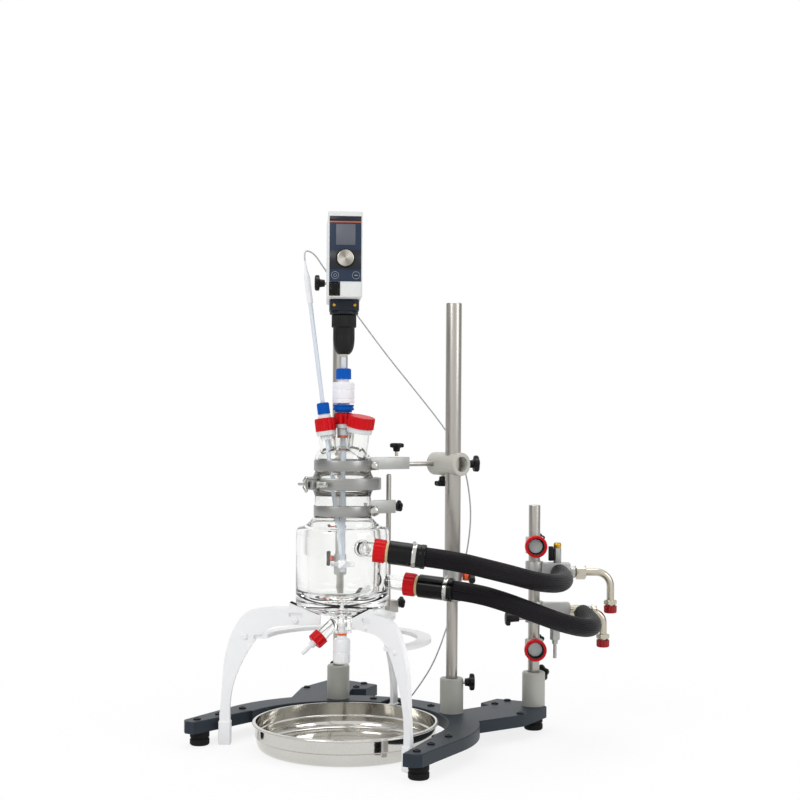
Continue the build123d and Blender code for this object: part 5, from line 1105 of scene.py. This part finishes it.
for index in range(4):
    tilt = Matrix.Rotation(radians(45), 4, "X")
    blades.append(block("blade", (16, 13.5, 2.2), around(90 * index, 15, 360), 90 * index, 0.9, tilt=tilt))
place(joined("pitched_impeller", [hub, *blades]), "impeller", gland_white)
print("probe length", round(long + 206), "mm")

# %% [markdown]
# ## Stirrer motor
# The motor is an upright white box with a dark foil panel, a metal dial and a rocker switch. The panel's
# name field stays bare. Its screen, stripe, dark band and ring signs are thin raised pieces.

# %% Motor housing
SWITCH_X, SWITCH_HEIGHT = -20.5, 893
INLET_HEIGHT = 902


def rounded_slab(name, wide, deep, low, high, middle_y, corner, edge):
    """An upright slab with rounded upright corners and a smaller round on its ends."""
    bm = bmesh.new()
    ring = []
    for cx, cy, first in ((1, 1, 0), (-1, 1, 90), (-1, -1, 180), (1, -1, 270)):
        for step in range(9):
            angle = radians(first + step * 90 / 8)
            ring.append(Vector((cx * (wide / 2 - corner) + corner * cos(angle),
                                middle_y + cy * (deep / 2 - corner) + corner * sin(angle))))
    levels = []
    for step in range(6):
        angle = radians(step * 18)
        levels.append((low + edge - edge * cos(angle), edge - edge * sin(angle)))
    for step in range(6):
        angle = radians(90 - step * 18)
        levels.append((high - edge + edge * cos(angle), edge - edge * sin(angle)))
    centre = Vector((0, middle_y))
    rows = []
    for height, inset in levels:
        row = []
        for spot in ring:
            pull = Vector((max(-1, min(1, spot.x / (wide / 2) * 1.2)),
                           max(-1, min(1, (spot.y - middle_y) / (deep / 2) * 1.2))))
            row.append(bm.verts.new((from_axis(spot.x - pull.x * inset, spot.y - pull.y * inset,
                                               height)) * MM))
        rows.append(row)
    for lower, upper in zip(rows, rows[1:]):
        for index in range(len(lower)):
            nxt = (index + 1) % len(lower)
            bm.faces.new([lower[index], lower[nxt], upper[nxt], upper[index]])
    bm.faces.new(list(reversed(rows[0])))
    bm.faces.new(rows[-1])
    bmesh.ops.recalc_face_normals(bm, faces=bm.faces)
    return make_object(name, bm, 40)


housing = rounded_slab("motor_shell", 66, 190, 877, 1043, 30, 7, 3.5)
well = block("well", (16.6, 10, 24), from_axis(SWITCH_X, -63, SWITCH_HEIGHT), 0, 0.4, 1)
cut(housing, [well], angle=40)
seams = [block("seam", (0.6, 0.7, 150), from_axis(side * 33, -38, 960), 0, 0.05, 1) for side in (1, -1)]
cut(housing, seams, angle=40)
place(housing, "motor_housing", housing_white)
nose_block = rounded_slab("nose", 58, 58, 854.5, 877, 0, 12, 1.5)
nose_ring = lathe("nose_ring", [(7.1, 848), (27, 848), (28, 849), (28, 855), (7.1, 855)], VESSEL, steps=96,
                  soft=0.5)
place(joined("motor_nose", [nose_block, nose_ring]), "motor_collar", nose_plastic)
nose_screw = lathe("nose_screw", [(0, -1), (2.9, -1), (2.9, 0.5), (2.2, 1.0), (1.2, 1.0), (1.2, 0.2),
                                  (0, 0.2)], steps=32, soft=0.15)
spots = [(from_axis(x, -29, 865), Vector((0, -1, 0))) for x in (-20, 20)]
place(repeated("nose_screws", nose_screw, spots, brass), "motor_collar", stands_for=[])
vents = [block("vent", (42, 0.8, 2.6), from_axis(0, 125.2, 985 + 6 * step), 0, 0.3, 1) for step in range(7)]
inlet = block("inlet", (28, 4, 22), from_axis(0, 126, INLET_HEIGHT), 0, 1.2, 3)
cut(inlet, [block("inlet_well", (22, 6, 15), from_axis(0, 128.6, INLET_HEIGHT), 0, 1.0, 2)])
pins = [block("pin", (1.6, 4, 4.4), from_axis(x, 126.4, INLET_HEIGHT + rise), 0, 0.3, 1) for x,
        rise in ((-6, -1.6), (0, 1.8), (6, -1.6))]
place(joined("back_vents", [*vents, inlet]), "motor_housing", black_knob, stands_for=[])
place(joined("inlet_pins", pins), "motor_housing", nickel, stands_for=[])
print("housing faces:", len(housing.data.polygons))

# %% [markdown]
# The panel's front carries thin sheets and signs. The dial is turned metal with fine grip lines and a
# painted sheen, and a black ring round its foot is its painted shadow. The rocker sits in a frame of four
# bars.

# %% Panel, dial and switch
FRONT_Y = -65.0
DIAL_HEIGHT = 951
SIGN_HEIGHT = 919
facing = Vector((0, -1, 0))


def sheet_piece(name, x0, x1, z0, z1, raise_mm, thick, bevel=0.1):
    """A thin plate on the motor's front."""
    middle = from_axis((x0 + x1) / 2, FRONT_Y - raise_mm - thick / 2, (z0 + z1) / 2)
    return block(name, (x1 - x0, thick, z1 - z0), middle, 0, bevel, 1)


panel = block("front_panel", (61, 1.2, 125), from_axis(0, FRONT_Y - 0.6, 969.7), 0, 0.35, 2)
place(panel, "motor_panel", panel_blue)
PANEL_SHEETS = (("panel_head", -30.2, 30.2, 1022.4, 1031.6, 0.3, panel_dark),
                ("panel_stripe", -30.2, 30.2, 1020, 1022.3, 0.3, stripe_orange),
                ("panel_band", -30.2, 30.2, 930, 967, 0.3, panel_dark),
                ("panel_screen", -18, 19, 977, 1017, 0.5, screen_glass))
for name, x0, x1, z0, z1, thick, material in PANEL_SHEETS:
    place(sheet_piece(name, x0, x1, z0, z1, 1.2, thick), "motor_panel", material, stands_for=[])
signs = []
for x in (-19.5, 20.5):
    signs.append(lathe("ring_sign", bar(7.2, 0, 0.25, 6.75), from_axis(x, FRONT_Y - 1.2, SIGN_HEIGHT),
                       facing, steps=64, soft=0))
signs.append(block("bar_sign", (6.0, 0.25, 1.1), from_axis(20.5, FRONT_Y - 1.3, SIGN_HEIGHT), 0, 0.1, 1))
signs.append(lathe("dot_sign", bar(3.0, 0, 0.25, 2.5), from_axis(-19.5, FRONT_Y - 1.2, SIGN_HEIGHT), facing,
                   steps=40, soft=0))
place(joined("panel_signs", signs), "motor_panel", panel_line, stands_for=[])
dial_at = from_axis(0, FRONT_Y - 1.7, DIAL_HEIGHT)


def knurl(radius, height, angle):
    """Fine grip lines round the dial."""
    return radius - (0.25 * (0.5 + 0.5 * cos(48 * angle)) if 2.5 < height < 8.5 and radius > 15 else 0)


def painted_sheen_metal(name, centre):
    """Metal with a painted sheen: the base colour is lighter and darker in wedges out from the middle, a
    painted highlight standing in for the sheen of turned metal.
    """
    material = finish(name, (226, 221, 210), (196, 190, 178), 0.2, 0.1, 90, 900, 0.03, 1.0)
    tree = material.node_tree
    effect = next(n for n in tree.nodes if n.type == "GROUP")
    where = next(n for n in tree.nodes if n.type == "TEX_COORD")
    middle = new_node(tree, "VectorMath")
    middle.operation = "SUBTRACT"
    middle.inputs[1].default_value = Vector(centre) * MM
    split = new_node(tree, "SeparateXYZ")
    wire(tree, (where.outputs["Object"], middle.inputs[0]), (middle.outputs["Vector"],
                                                             split.inputs["Vector"]))
    turn = calculate(tree, "ARCTAN2", split.outputs["Z"], split.outputs["X"])
    # Painted highlight: a cosine of the angle round the centre lightens and darkens the base colour in
    # wedges.
    painted_sheen_wedge = calculate(tree, "COSINE", calculate(tree, "MULTIPLY_ADD", turn, 2.0, -1.1))
    strength = ramp(tree, painted_sheen_wedge, (-1.0, 1.0, 0.42, 1.0))
    tone_with_painted_light = blend_tones(tree, 1.0, effect.outputs["Tone"], strength, "MULTIPLY")
    wire(tree, (tone_with_painted_light, tree.nodes["Principled BSDF"].inputs["Base Color"]))
    return material


dial = lathe("dial", [(0, 0), (16.5, 0), (16.5, 1.5), (16.1, 2.4), (16.1, 9.4), (15.4, 10.6), (14.4, 11),
                      (0, 11)], dial_at, facing, steps=288, soft=0.3, wave=knurl)
dial_painted_sheen = painted_sheen_metal("dial_painted_sheen", dial_at)
place(dial, "speed_knob", dial_painted_sheen)
# A black ring round the dial's foot is painted shade: a dark part standing in for the dial's shadow on the
# panel.
place(lathe("dial_base", [(0, -0.4), (17.6, -0.4), (18.4, 0), (18.4, 0.6), (17.6, 1.1), (0, 1.1)], dial_at,
            facing, steps=96, soft=0.2), "speed_knob", gloss_black, stands_for=[])
rocker = block("rocker", (14.8, 3.4, 20.8), from_axis(SWITCH_X, FRONT_Y - 1.0, SWITCH_HEIGHT), 0, 1.1, 3,
               tilt=Matrix.Rotation(radians(-8), 4, "X"))
place(rocker, "power_switch", gloss_black)
rim_parts = [block("rim", (20.8, 2.0, 2.4), from_axis(SWITCH_X, FRONT_Y - 0.8, SWITCH_HEIGHT + s * 12.4), 0,
                   0.9, 3) for s in (1, -1)]
rim_parts += [block("rim", (2.4, 2.0, 27.2), from_axis(SWITCH_X + s * 9.4, FRONT_Y - 0.8, SWITCH_HEIGHT), 0,
                    0.9, 3) for s in (1, -1)]
place(joined("switch_frame", rim_parts), "motor_housing", gloss_black, stands_for=[])
print("panel sheets:", len(PANEL_SHEETS), "signs:", len(signs))

# %% [markdown]
# ## Chuck and bracket
# The keyless chuck is black plastic with grip flutes on its sleeve. Flutes are a wave on the radius
# again, this time many narrow ones. The bracket clamps the motor's rod to the rear column.

# %% Chuck and bracket
def flutes(radius, height, angle):
    """Upright grip flutes on the two sleeves."""
    if radius > 23.5:
        return radius - 0.7 * (0.5 + 0.5 * cos(30 * angle)) ** 2
    if radius > 19.5 and 797 < height < 822:
        return radius - 0.8 * (0.5 + 0.5 * cos(24 * angle)) ** 4
    return radius


chuck_outline = [(5.2, 770.6), (11.2, 770.6), (12.2, 771.6), *curve_between((12.6, 772), (21.2, 800),
                                                                            (20.4, 778), 12), (21.2, 822.4),
                 (23.6, 823.4), (24.3, 824.4), (24.3, 845.6), (23.4, 847.2), (7, 847.2), (7, 872), (0, 872),
                 (0, 845), (5.2, 842)]
place(lathe("keyless_chuck", chuck_outline, VESSEL, steps=240, soft=0.3, wave=flutes), "chuck", black_knob)
jaws = lathe("jaws", [(5.2, 766.5), (7.4, 766.5), (8.6, 770.4), (8.6, 771.5), (5.2, 771.5)], VESSEL,
             steps=48, soft=0.3)
place(jaws, "chuck", nickel, stands_for=[])
place(dressed_copy("motor_bracket", 0.8, 34, 2), "motor_bracket", cast_steel)
print("chuck and bracket dressed")

# %% [markdown]
# ## The white stand
# Three moulded legs carry two rings. The legs' outline comes from the CAD solid and gets a small
# one-step bevel on its edges. Caps, bolts and black pads sit on them.

# %% Stand
place(dressed_copy("stand_legs", 0.5, 30, 1), "stand_legs", white_plastic)
rings = [lathe("stand_ring", bar(outside, low, low + 7.5, inside), VESSEL, steps=138, soft=0.6, arc=230.0,
               start=300.0) for inside, outside, low in ((78.0, 105.0, 255.0), (148.0, 175.0, 210.0))]
place(joined("stand_ring_pair", rings), "stand_rings", white_plastic)
LEGS = (60.0, 170.0, -60.0)
# Leg bolts: two on each side of every leg
leg_bolt = lathe("leg_bolt", [(0, -1), (6.5, -1), (6.5, 0.6), (6.0, 2.2), (4.2, 4.0), (2.2, 4.8), (2.0, 4.2),
                              (0, 4.2)], steps=40, soft=0.3)
bolt_spots = []
for angle in LEGS:
    for out, high in ((92, 247), (193, 214)):
        for side in (1, -1):
            bolt_spots.append((around(angle, out, high) + compass(angle - 90) * side * 4,
                               compass(angle - 90) * side))
place(repeated("leg_bolts", leg_bolt, bolt_spots, white_plastic), "stand_fittings", stands_for=[])
leg_caps = [block("leg_cap", (24, 16, 47), around(angle, 232.5, 23.5), angle, 2.2, 4) for angle in LEGS]
place(joined("leg_caps", leg_caps), "stand_fittings", white_plastic)
pads = [block("cradle_pad", (62, 10, 2.8), around(angle, 73.5, 272.2), angle, 0.6, 2,
              tilt=Matrix.Rotation(radians(-21.4), 4, "Y")) for angle in LEGS]
place(joined("cradle_pad_set", pads), "cradle_pads", black_rubber)
print("leg bolts:", len(bolt_spots))

# %% [markdown]
# ## Drip pan
# The pan is spun from thin steel and polished. Its wall has a bead half way up and a rolled rim, and the
# floor carries faint spinning marks, which its finish does not draw: its grain is not stretched round the
# middle.

# %% Pan and outlet valve
pan_at = from_axis(8, 0, 0)
pan_outline = [(0, 0), (157, 0), *curve_between((158, 0), (174, 18), (173, 2), 9), (174, 25), (175.2, 26.2),
               (177, 28), (177, 48.4), *curve_between((178, 49.2), (182.5, 52), (182.5, 49), 4),
               *curve_between((182.5, 52.2), (178, 54), (182, 54), 4), (175.8, 54), (175.8, 28.6),
               (174, 27.2), (172.8, 25.8), (172.8, 19), *curve_between((172.8, 18), (158, 1.2), (171.6, 3),
                                                                       9), (0, 1.2)]
place(lathe("spun_pan", pan_outline, pan_at, steps=200, soft=0), "drip_pan", pan_steel)
valve_outline = [(0, 165), (13.5, 165), (16.5, 168), (16.5, 186), (15.8, 187), (15.8, 188.4), (16.5, 189.4),
                 (16.5, 208), (14.5, 214), (9.5, 214.5), (9.5, 220.5), (6.2, 220.7), (6.2, 236), (7.94, 238),
                 (7.94, 246), (4, 248), (4, 279), (0, 283)]


def grip(radius, height, angle):
    """Shallow grip grooves on the hand wheel."""
    return radius - (0.7 * (0.5 + 0.5 * cos(12 * angle)) ** 6 if radius > 16 and height < 187 else 0)


place(lathe("valve_wheel", valve_outline, VESSEL, steps=144, soft=0.4, wave=grip), "outlet_valve",
      white_plastic)
print("pan rim 365 mm")

# %% [markdown]
# ## Hose fittings
# Red ring nuts hold each hose on its glass port. Behind the nut come a cream ferrule, a glossy black
# sleeve and a steel hose band with its small screw housing.

# %% Hose fittings and parking ports
ring_nuts, ferrules, bands, sleeves = [], [], [], []
for end, way, nut_back, nut_long, sleeve_end, band_back in ((UPPER_NOZZLE, upper_way, 95.7, 23, 3, 22),
                                                            (LOWER_NOZZLE, lower_way, 84, 22, 13, 5)):
    back = nut_back - nut_long
    total = back - 5.6 + sleeve_end
    ring_nuts.append(cap_piece("hose_nut", end - way * nut_back, way, 22.5, nut_long, 14.3, 17, 1.4))
    ferrules.append(lathe("ferrule", [(14.3, 0), (18.8, 0), (19.5, 1), (19.2, 5.4), (14.3, 5.4)],
                          end - way * back, way, steps=96, soft=0.4))
    sleeves.append(lathe("hose_sleeve", [(14.3, 0), (20.8, 0), (22.3, 1.8), (22.3, total - 9.6),
                                         (23.1, total - 8.4), (23.1, total - 1.6), (22.2, total),
                                         (18.9, total), (18.9, total - 11)], end - way * (back - 5.6), way,
                         steps=96, soft=0.6))
    band_at = end - way * band_back
    bands.append(lathe("hose_band", bar(23.0, 0, 7.6, 22.2), band_at, way, steps=96, soft=0.25))
    side = way.cross(UP).normalized()
    bands.append(lathe("band_screw", [(0, -6), (3, -6), (3.4, 6), (0, 6)],
                       band_at + way * 4.2 + side * 4 + UP * 24.2, side, steps=24, soft=0.4))
place(joined("sleeves", sleeves), "hose_sleeves", gloss_black)
place(joined("ferrules", ferrules), "hose_sleeves", cream_ferrule, stands_for=[])
place(joined("hose_bands", bands), "hose_sleeves", bright_steel, stands_for=[])
ROD_HOLE = 12.1
hose_column = around(*HOSE, 0)
m_right = compass(-4)
m_front = compass(-94)


def manifold(across, forward, height):
    """A point to the right of and in front of the hose column."""
    return hose_column + m_right * across + m_front * forward + UP * height


def ring_ribs(radius, height, angle):
    """Sixteen narrow grooves round a parking ring."""
    return radius - (0.8 * (0.5 + 0.5 * cos(16 * angle)) ** 5 if radius > 22 and 2 < height < 15 else 0)


for height in PORT_HEIGHTS:
    ring_nuts.append(lathe("parking_ring", [(17.3, 0), (22.2, 0), (22.8, 1), (22.8, 15.6), (21.4, 18),
                                            (17.3, 18)], manifold(0, 28, height), m_front, steps=192,
                           soft=0.5, wave=ring_ribs))
place(joined("red_ring_nut_set", ring_nuts), "red_ring_nuts", red_plastic)
ports, wells = [], []
for height in PORT_HEIGHTS:
    ports.append(lathe("port_collar", bar(COLLAR_RADIUS, height - 17, height + 17, ROD_HOLE), hose_column,
                       steps=96, soft=0.8))
    ports.append(lathe("port_boss", [(0, 14), (19.6, 14), (21.4, 17), (21.4, 23.6), (19.8, 26), (0, 26)],
                       manifold(0, 0, height), m_front, steps=96, soft=1.0))
    wells.append(lathe("port_face", [(0, 25), (14.35, 25), (14.35, 29.4), (13.6, 30), (0, 30)],
                       manifold(0, 0, height), m_front, steps=96, soft=0.2))
    wells.append(lathe("port_well", [(14.5, 25.8), (17.2, 25.8), (17.2, 45), (16.4, 45), (16.4, 28),
                                     (14.5, 28)], manifold(0, 0, height), m_front, steps=96, soft=0.3))
place(joined("parking_port_set", ports), "parking_ports", clamp_grey)
place(joined("port_discs", wells[0::2]), "parking_ports", housing_white, stands_for=[])
place(joined("port_wells", wells[1::2]), "parking_ports", gloss_black, stands_for=[])
print("ring nuts:", len(ring_nuts), "hose bands:", len(bands) // 2)

# %% [markdown]
# ## Manifolds, elbows and valves
# The two manifold blocks are machined metal. Bent tubes leave them through hexagonal union nuts and end
# in red caps. The hexagons are the lathe again, with its radius waved six times.

# %% Manifolds
def hex_nut(name, at, way, flat, low, high, hole=0.0):
    """A hexagonal nut with chamfered ends."""
    corner = flat / cos(pi / 6)
    outline = [(hole, low), (flat * 0.96, low), (corner, low + 1.6), (corner, high - 1.6),
               (flat * 0.96, high), (hole, high)]

    def hexagon(radius, height, angle):
        return min(radius, flat / cos((angle % (pi / 3)) - pi / 6)) if radius > flat * 0.9 else radius

    return lathe(name, outline, at, way, steps=96, soft=0, wave=hexagon, angle=28)


UPPER_BLOCK, LOWER_BLOCK = 329, 246
VENT, DRAIN = manifold(48, 0, 0), manifold(44, 0, 0)
steel_parts, nickel_parts = [], []
for height, end in ((UPPER_BLOCK, 74), (LOWER_BLOCK, 108)):
    steel_parts.append(lathe("manifold_collar", bar(COLLAR_RADIUS, height - 22, height + 22, ROD_HOLE),
                             hose_column, steps=96, soft=0.8))
    steel_parts.append(block("manifold_block", (60, 30, 38), manifold(44, 0, height), -4, 1.2, 3))
    steel_parts.append(hex_nut("manifold_nut", manifold(end, 0, height), m_right, 11, 0, 11.8))
nickel_parts.append(lathe("side_port", bar(14.2, 73, 108, 0), manifold(0, 0, LOWER_BLOCK), m_right, steps=96,
                          soft=1.2))
nickel_parts.append(hex_nut("side_port_nut", manifold(0, 0, LOWER_BLOCK), m_right, 12.9, 73.5, 82))
steel_parts.append(hex_nut("vent_body", VENT, UP, 7.2, 347, 379))
steel_parts.append(hex_nut("drain_body", DRAIN, UP, 9, 187, 227))
steel_parts.append(lathe("drain_neck", bar(6, 179, 187), DRAIN, steps=40, soft=0.4))
barb = [(0, 149), (2.6, 149)]
for step in range(6):
    barb += [(4.1, 151 + step * 4.6), (3.2, 154.6 + step * 4.6)]
steel_parts.append(lathe("drain_barb", [*barb, (3.2, 180), (0, 180)], DRAIN, steps=40, soft=0.1))
place(joined("manifold_set", steel_parts), "hose_manifolds", cast_steel)
vent_cap = lathe("vent_cap", [(0, 379), (8, 379), (8, 386.5), (6.4, 390), (0, 390)], VENT, steps=48, soft=0.8)
place(vent_cap, "hose_manifolds", brass, stands_for=[])


def bent_tube(name, corner, drop, start, radius, bend=30.0):
    """A tube that runs right from the start, turns down and drops."""
    straight = (corner - start).length - bend
    path = [start, start + m_right * straight * 0.5]
    for step in range(13):
        angle = radians(step * 90 / 12)
        path.append(start + m_right * (straight + bend * sin(angle)) - UP * bend * (1 - cos(angle)))
    path.append(corner - UP * (bend + drop))
    return tube_along(name, [p * MM for p in path], radius * MM, 40)


cap_set = []
for height, end, reach, nut_long, deeper in ((UPPER_BLOCK, 74, 159, 21, 12), (LOWER_BLOCK, 108, 144, 10, 0)):
    start = manifold(end + 12, 0, height)
    corner = manifold(reach, 0, height)
    bend = min(30.0, (corner - start).length - 0.5)
    nickel_parts.append(bent_tube("elbow", corner, 28 + 30 - bend + deeper, start, 7.9, bend))
    nickel_parts.append(hex_nut("union_nut", start, m_right, 13.5, 0, nut_long))
    nickel_parts.append(hex_nut("end_hex", manifold(reach, 0, 0), UP, 12, height - 56 - deeper,
                                height - 46 - deeper, 7.9))
    cap_set.append(cap_piece("outlet_cap", manifold(reach, 0, height - 58 - deeper), -UP, 13.5, 15, 0, 14,
                             0.8))
place(joined("elbow_set", nickel_parts), "outlet_elbows", nickel)
place(joined("outlet_caps", cap_set), "red_screw_caps", dark_red, stands_for=[])
for node, at, way, up in (("upper_valve_lever", VENT + UP * 358, -m_right, 1), ("lower_valve_lever",
                                                                                DRAIN + UP * 212, -m_front,
                                                                                -1)):
    wall = 7 if up > 0 else 9
    thick = 10 if up > 0 else 6
    arm = block(node + "_arm", (thick, 13, 30), at + way * (wall + 1.5 + thick / 2) + UP * up * 9,
                -4 if up > 0 else 86, 1.6, 3)
    pin = lathe("pin", bar(2.5, 2, wall + 2), at, way, steps=24, soft=0.2)
    place(joined(node + "_set", [arm, pin]), node, black_knob)
print("manifold pieces:", len(steel_parts))

# %% [markdown]
# ## Floor and light
# The studio is plain: a pale floor, a white surround and soft lamps. The surround is white to the eye
# and to glass and metal, darker to the sides, so that glass edges and steel get their grey lines.

# %% Floor and world
WHITE = (1, 1, 1, 1)
bm = bmesh.new()
bmesh.ops.create_grid(bm, x_segments=1, y_segments=1, size=9.0)
floor = make_object("studio_floor", bm)
floor.data.transform(Matrix.Translation((0, 0, -0.0004)))
floor_paint, tree, paint = new_material("floor_paint")
paint.inputs["Base Color"].default_value = (0.94, 0.94, 0.94, 1)
paint.inputs["Roughness"].default_value = 0.9
glow = new_node(tree, "Emission", Color=WHITE)
ray = new_node(tree, "LightPath")
spot = new_node(tree, "TexCoord")
reach = new_node(tree, "VectorMath")
reach.operation = "LENGTH"
wire(tree, (spot.outputs["Object"], reach.inputs[0]))
far = ramp(tree, reach.outputs["Value"], (0.45, 1.1, 0.82, 1.0), True)
seen = calculate(tree, "MAXIMUM", ray.outputs["Is Camera Ray"], ray.outputs["Is Glossy Ray"])
seen = calculate(tree, "MAXIMUM", seen, ray.outputs["Is Transmission Ray"])
mix_shaders(tree, calculate(tree, "MULTIPLY", seen, far), paint.outputs["BSDF"], glow.outputs["Emission"],
            tree.nodes["Material Output"].inputs["Surface"])
floor.data.materials.append(floor_paint)
world = bpy.data.worlds.new("studio")
bpy.context.scene.world = world
world.use_nodes = True
tree = world.node_tree
ambient = tree.nodes["Background"]
ambient.inputs["Color"].default_value = WHITE
ambient.inputs["Strength"].default_value = 0.55
shown = new_node(tree, "Background", Color=WHITE)
direction = new_node(tree, "TexCoord")
split = new_node(tree, "SeparateXYZ")
ray = new_node(tree, "LightPath")
wire(tree, (direction.outputs["Generated"], split.inputs["Vector"]))
sideways = ramp(tree, calculate(tree, "ABSOLUTE", split.outputs["X"]), (0.55, 0.95, 1.0, 0.46), True)
bent = calculate(tree, "MAXIMUM", ray.outputs["Is Glossy Ray"], ray.outputs["Is Transmission Ray"])
tone = new_node(tree, "Mix", A=1.0)
wire(tree, (bent, tone.inputs["Factor"]), (sideways, tone.inputs["B"]), (tone.outputs["Result"],
                                                                         shown.inputs["Strength"]))
seen = calculate(tree, "MAXIMUM", ray.outputs["Is Camera Ray"], bent)
mix_shaders(tree, seen, ambient.outputs["Background"], shown.outputs["Background"],
            tree.nodes["World Output"].inputs["Surface"])
bpy.context.scene.view_settings.view_transform = "Standard"


def soft_lamp(name, at, aim, size, power):
    """A large square lamp that looks at a point."""
    lamp = bpy.data.lights.new(name, "AREA")
    lamp.size = size
    lamp.energy = power
    holder = bpy.data.objects.new(name, lamp)
    holder.location = at
    holder.rotation_euler = (Vector(aim) - Vector(at)).to_track_quat("-Z", "Y").to_euler()
    scene_items.link(holder)


soft_lamp("key", (-2.2, -2.4, 2.6), (0, 0, 0.5), 1.6, 46)
soft_lamp("fill", (2.6, -1.8, 1.6), (0, 0, 0.4), 1.6, 24)
soft_lamp("top", (0.1, 0.6, 3.0), (0, 0, 0.4), 2.0, 30)
print("lamps: 3")
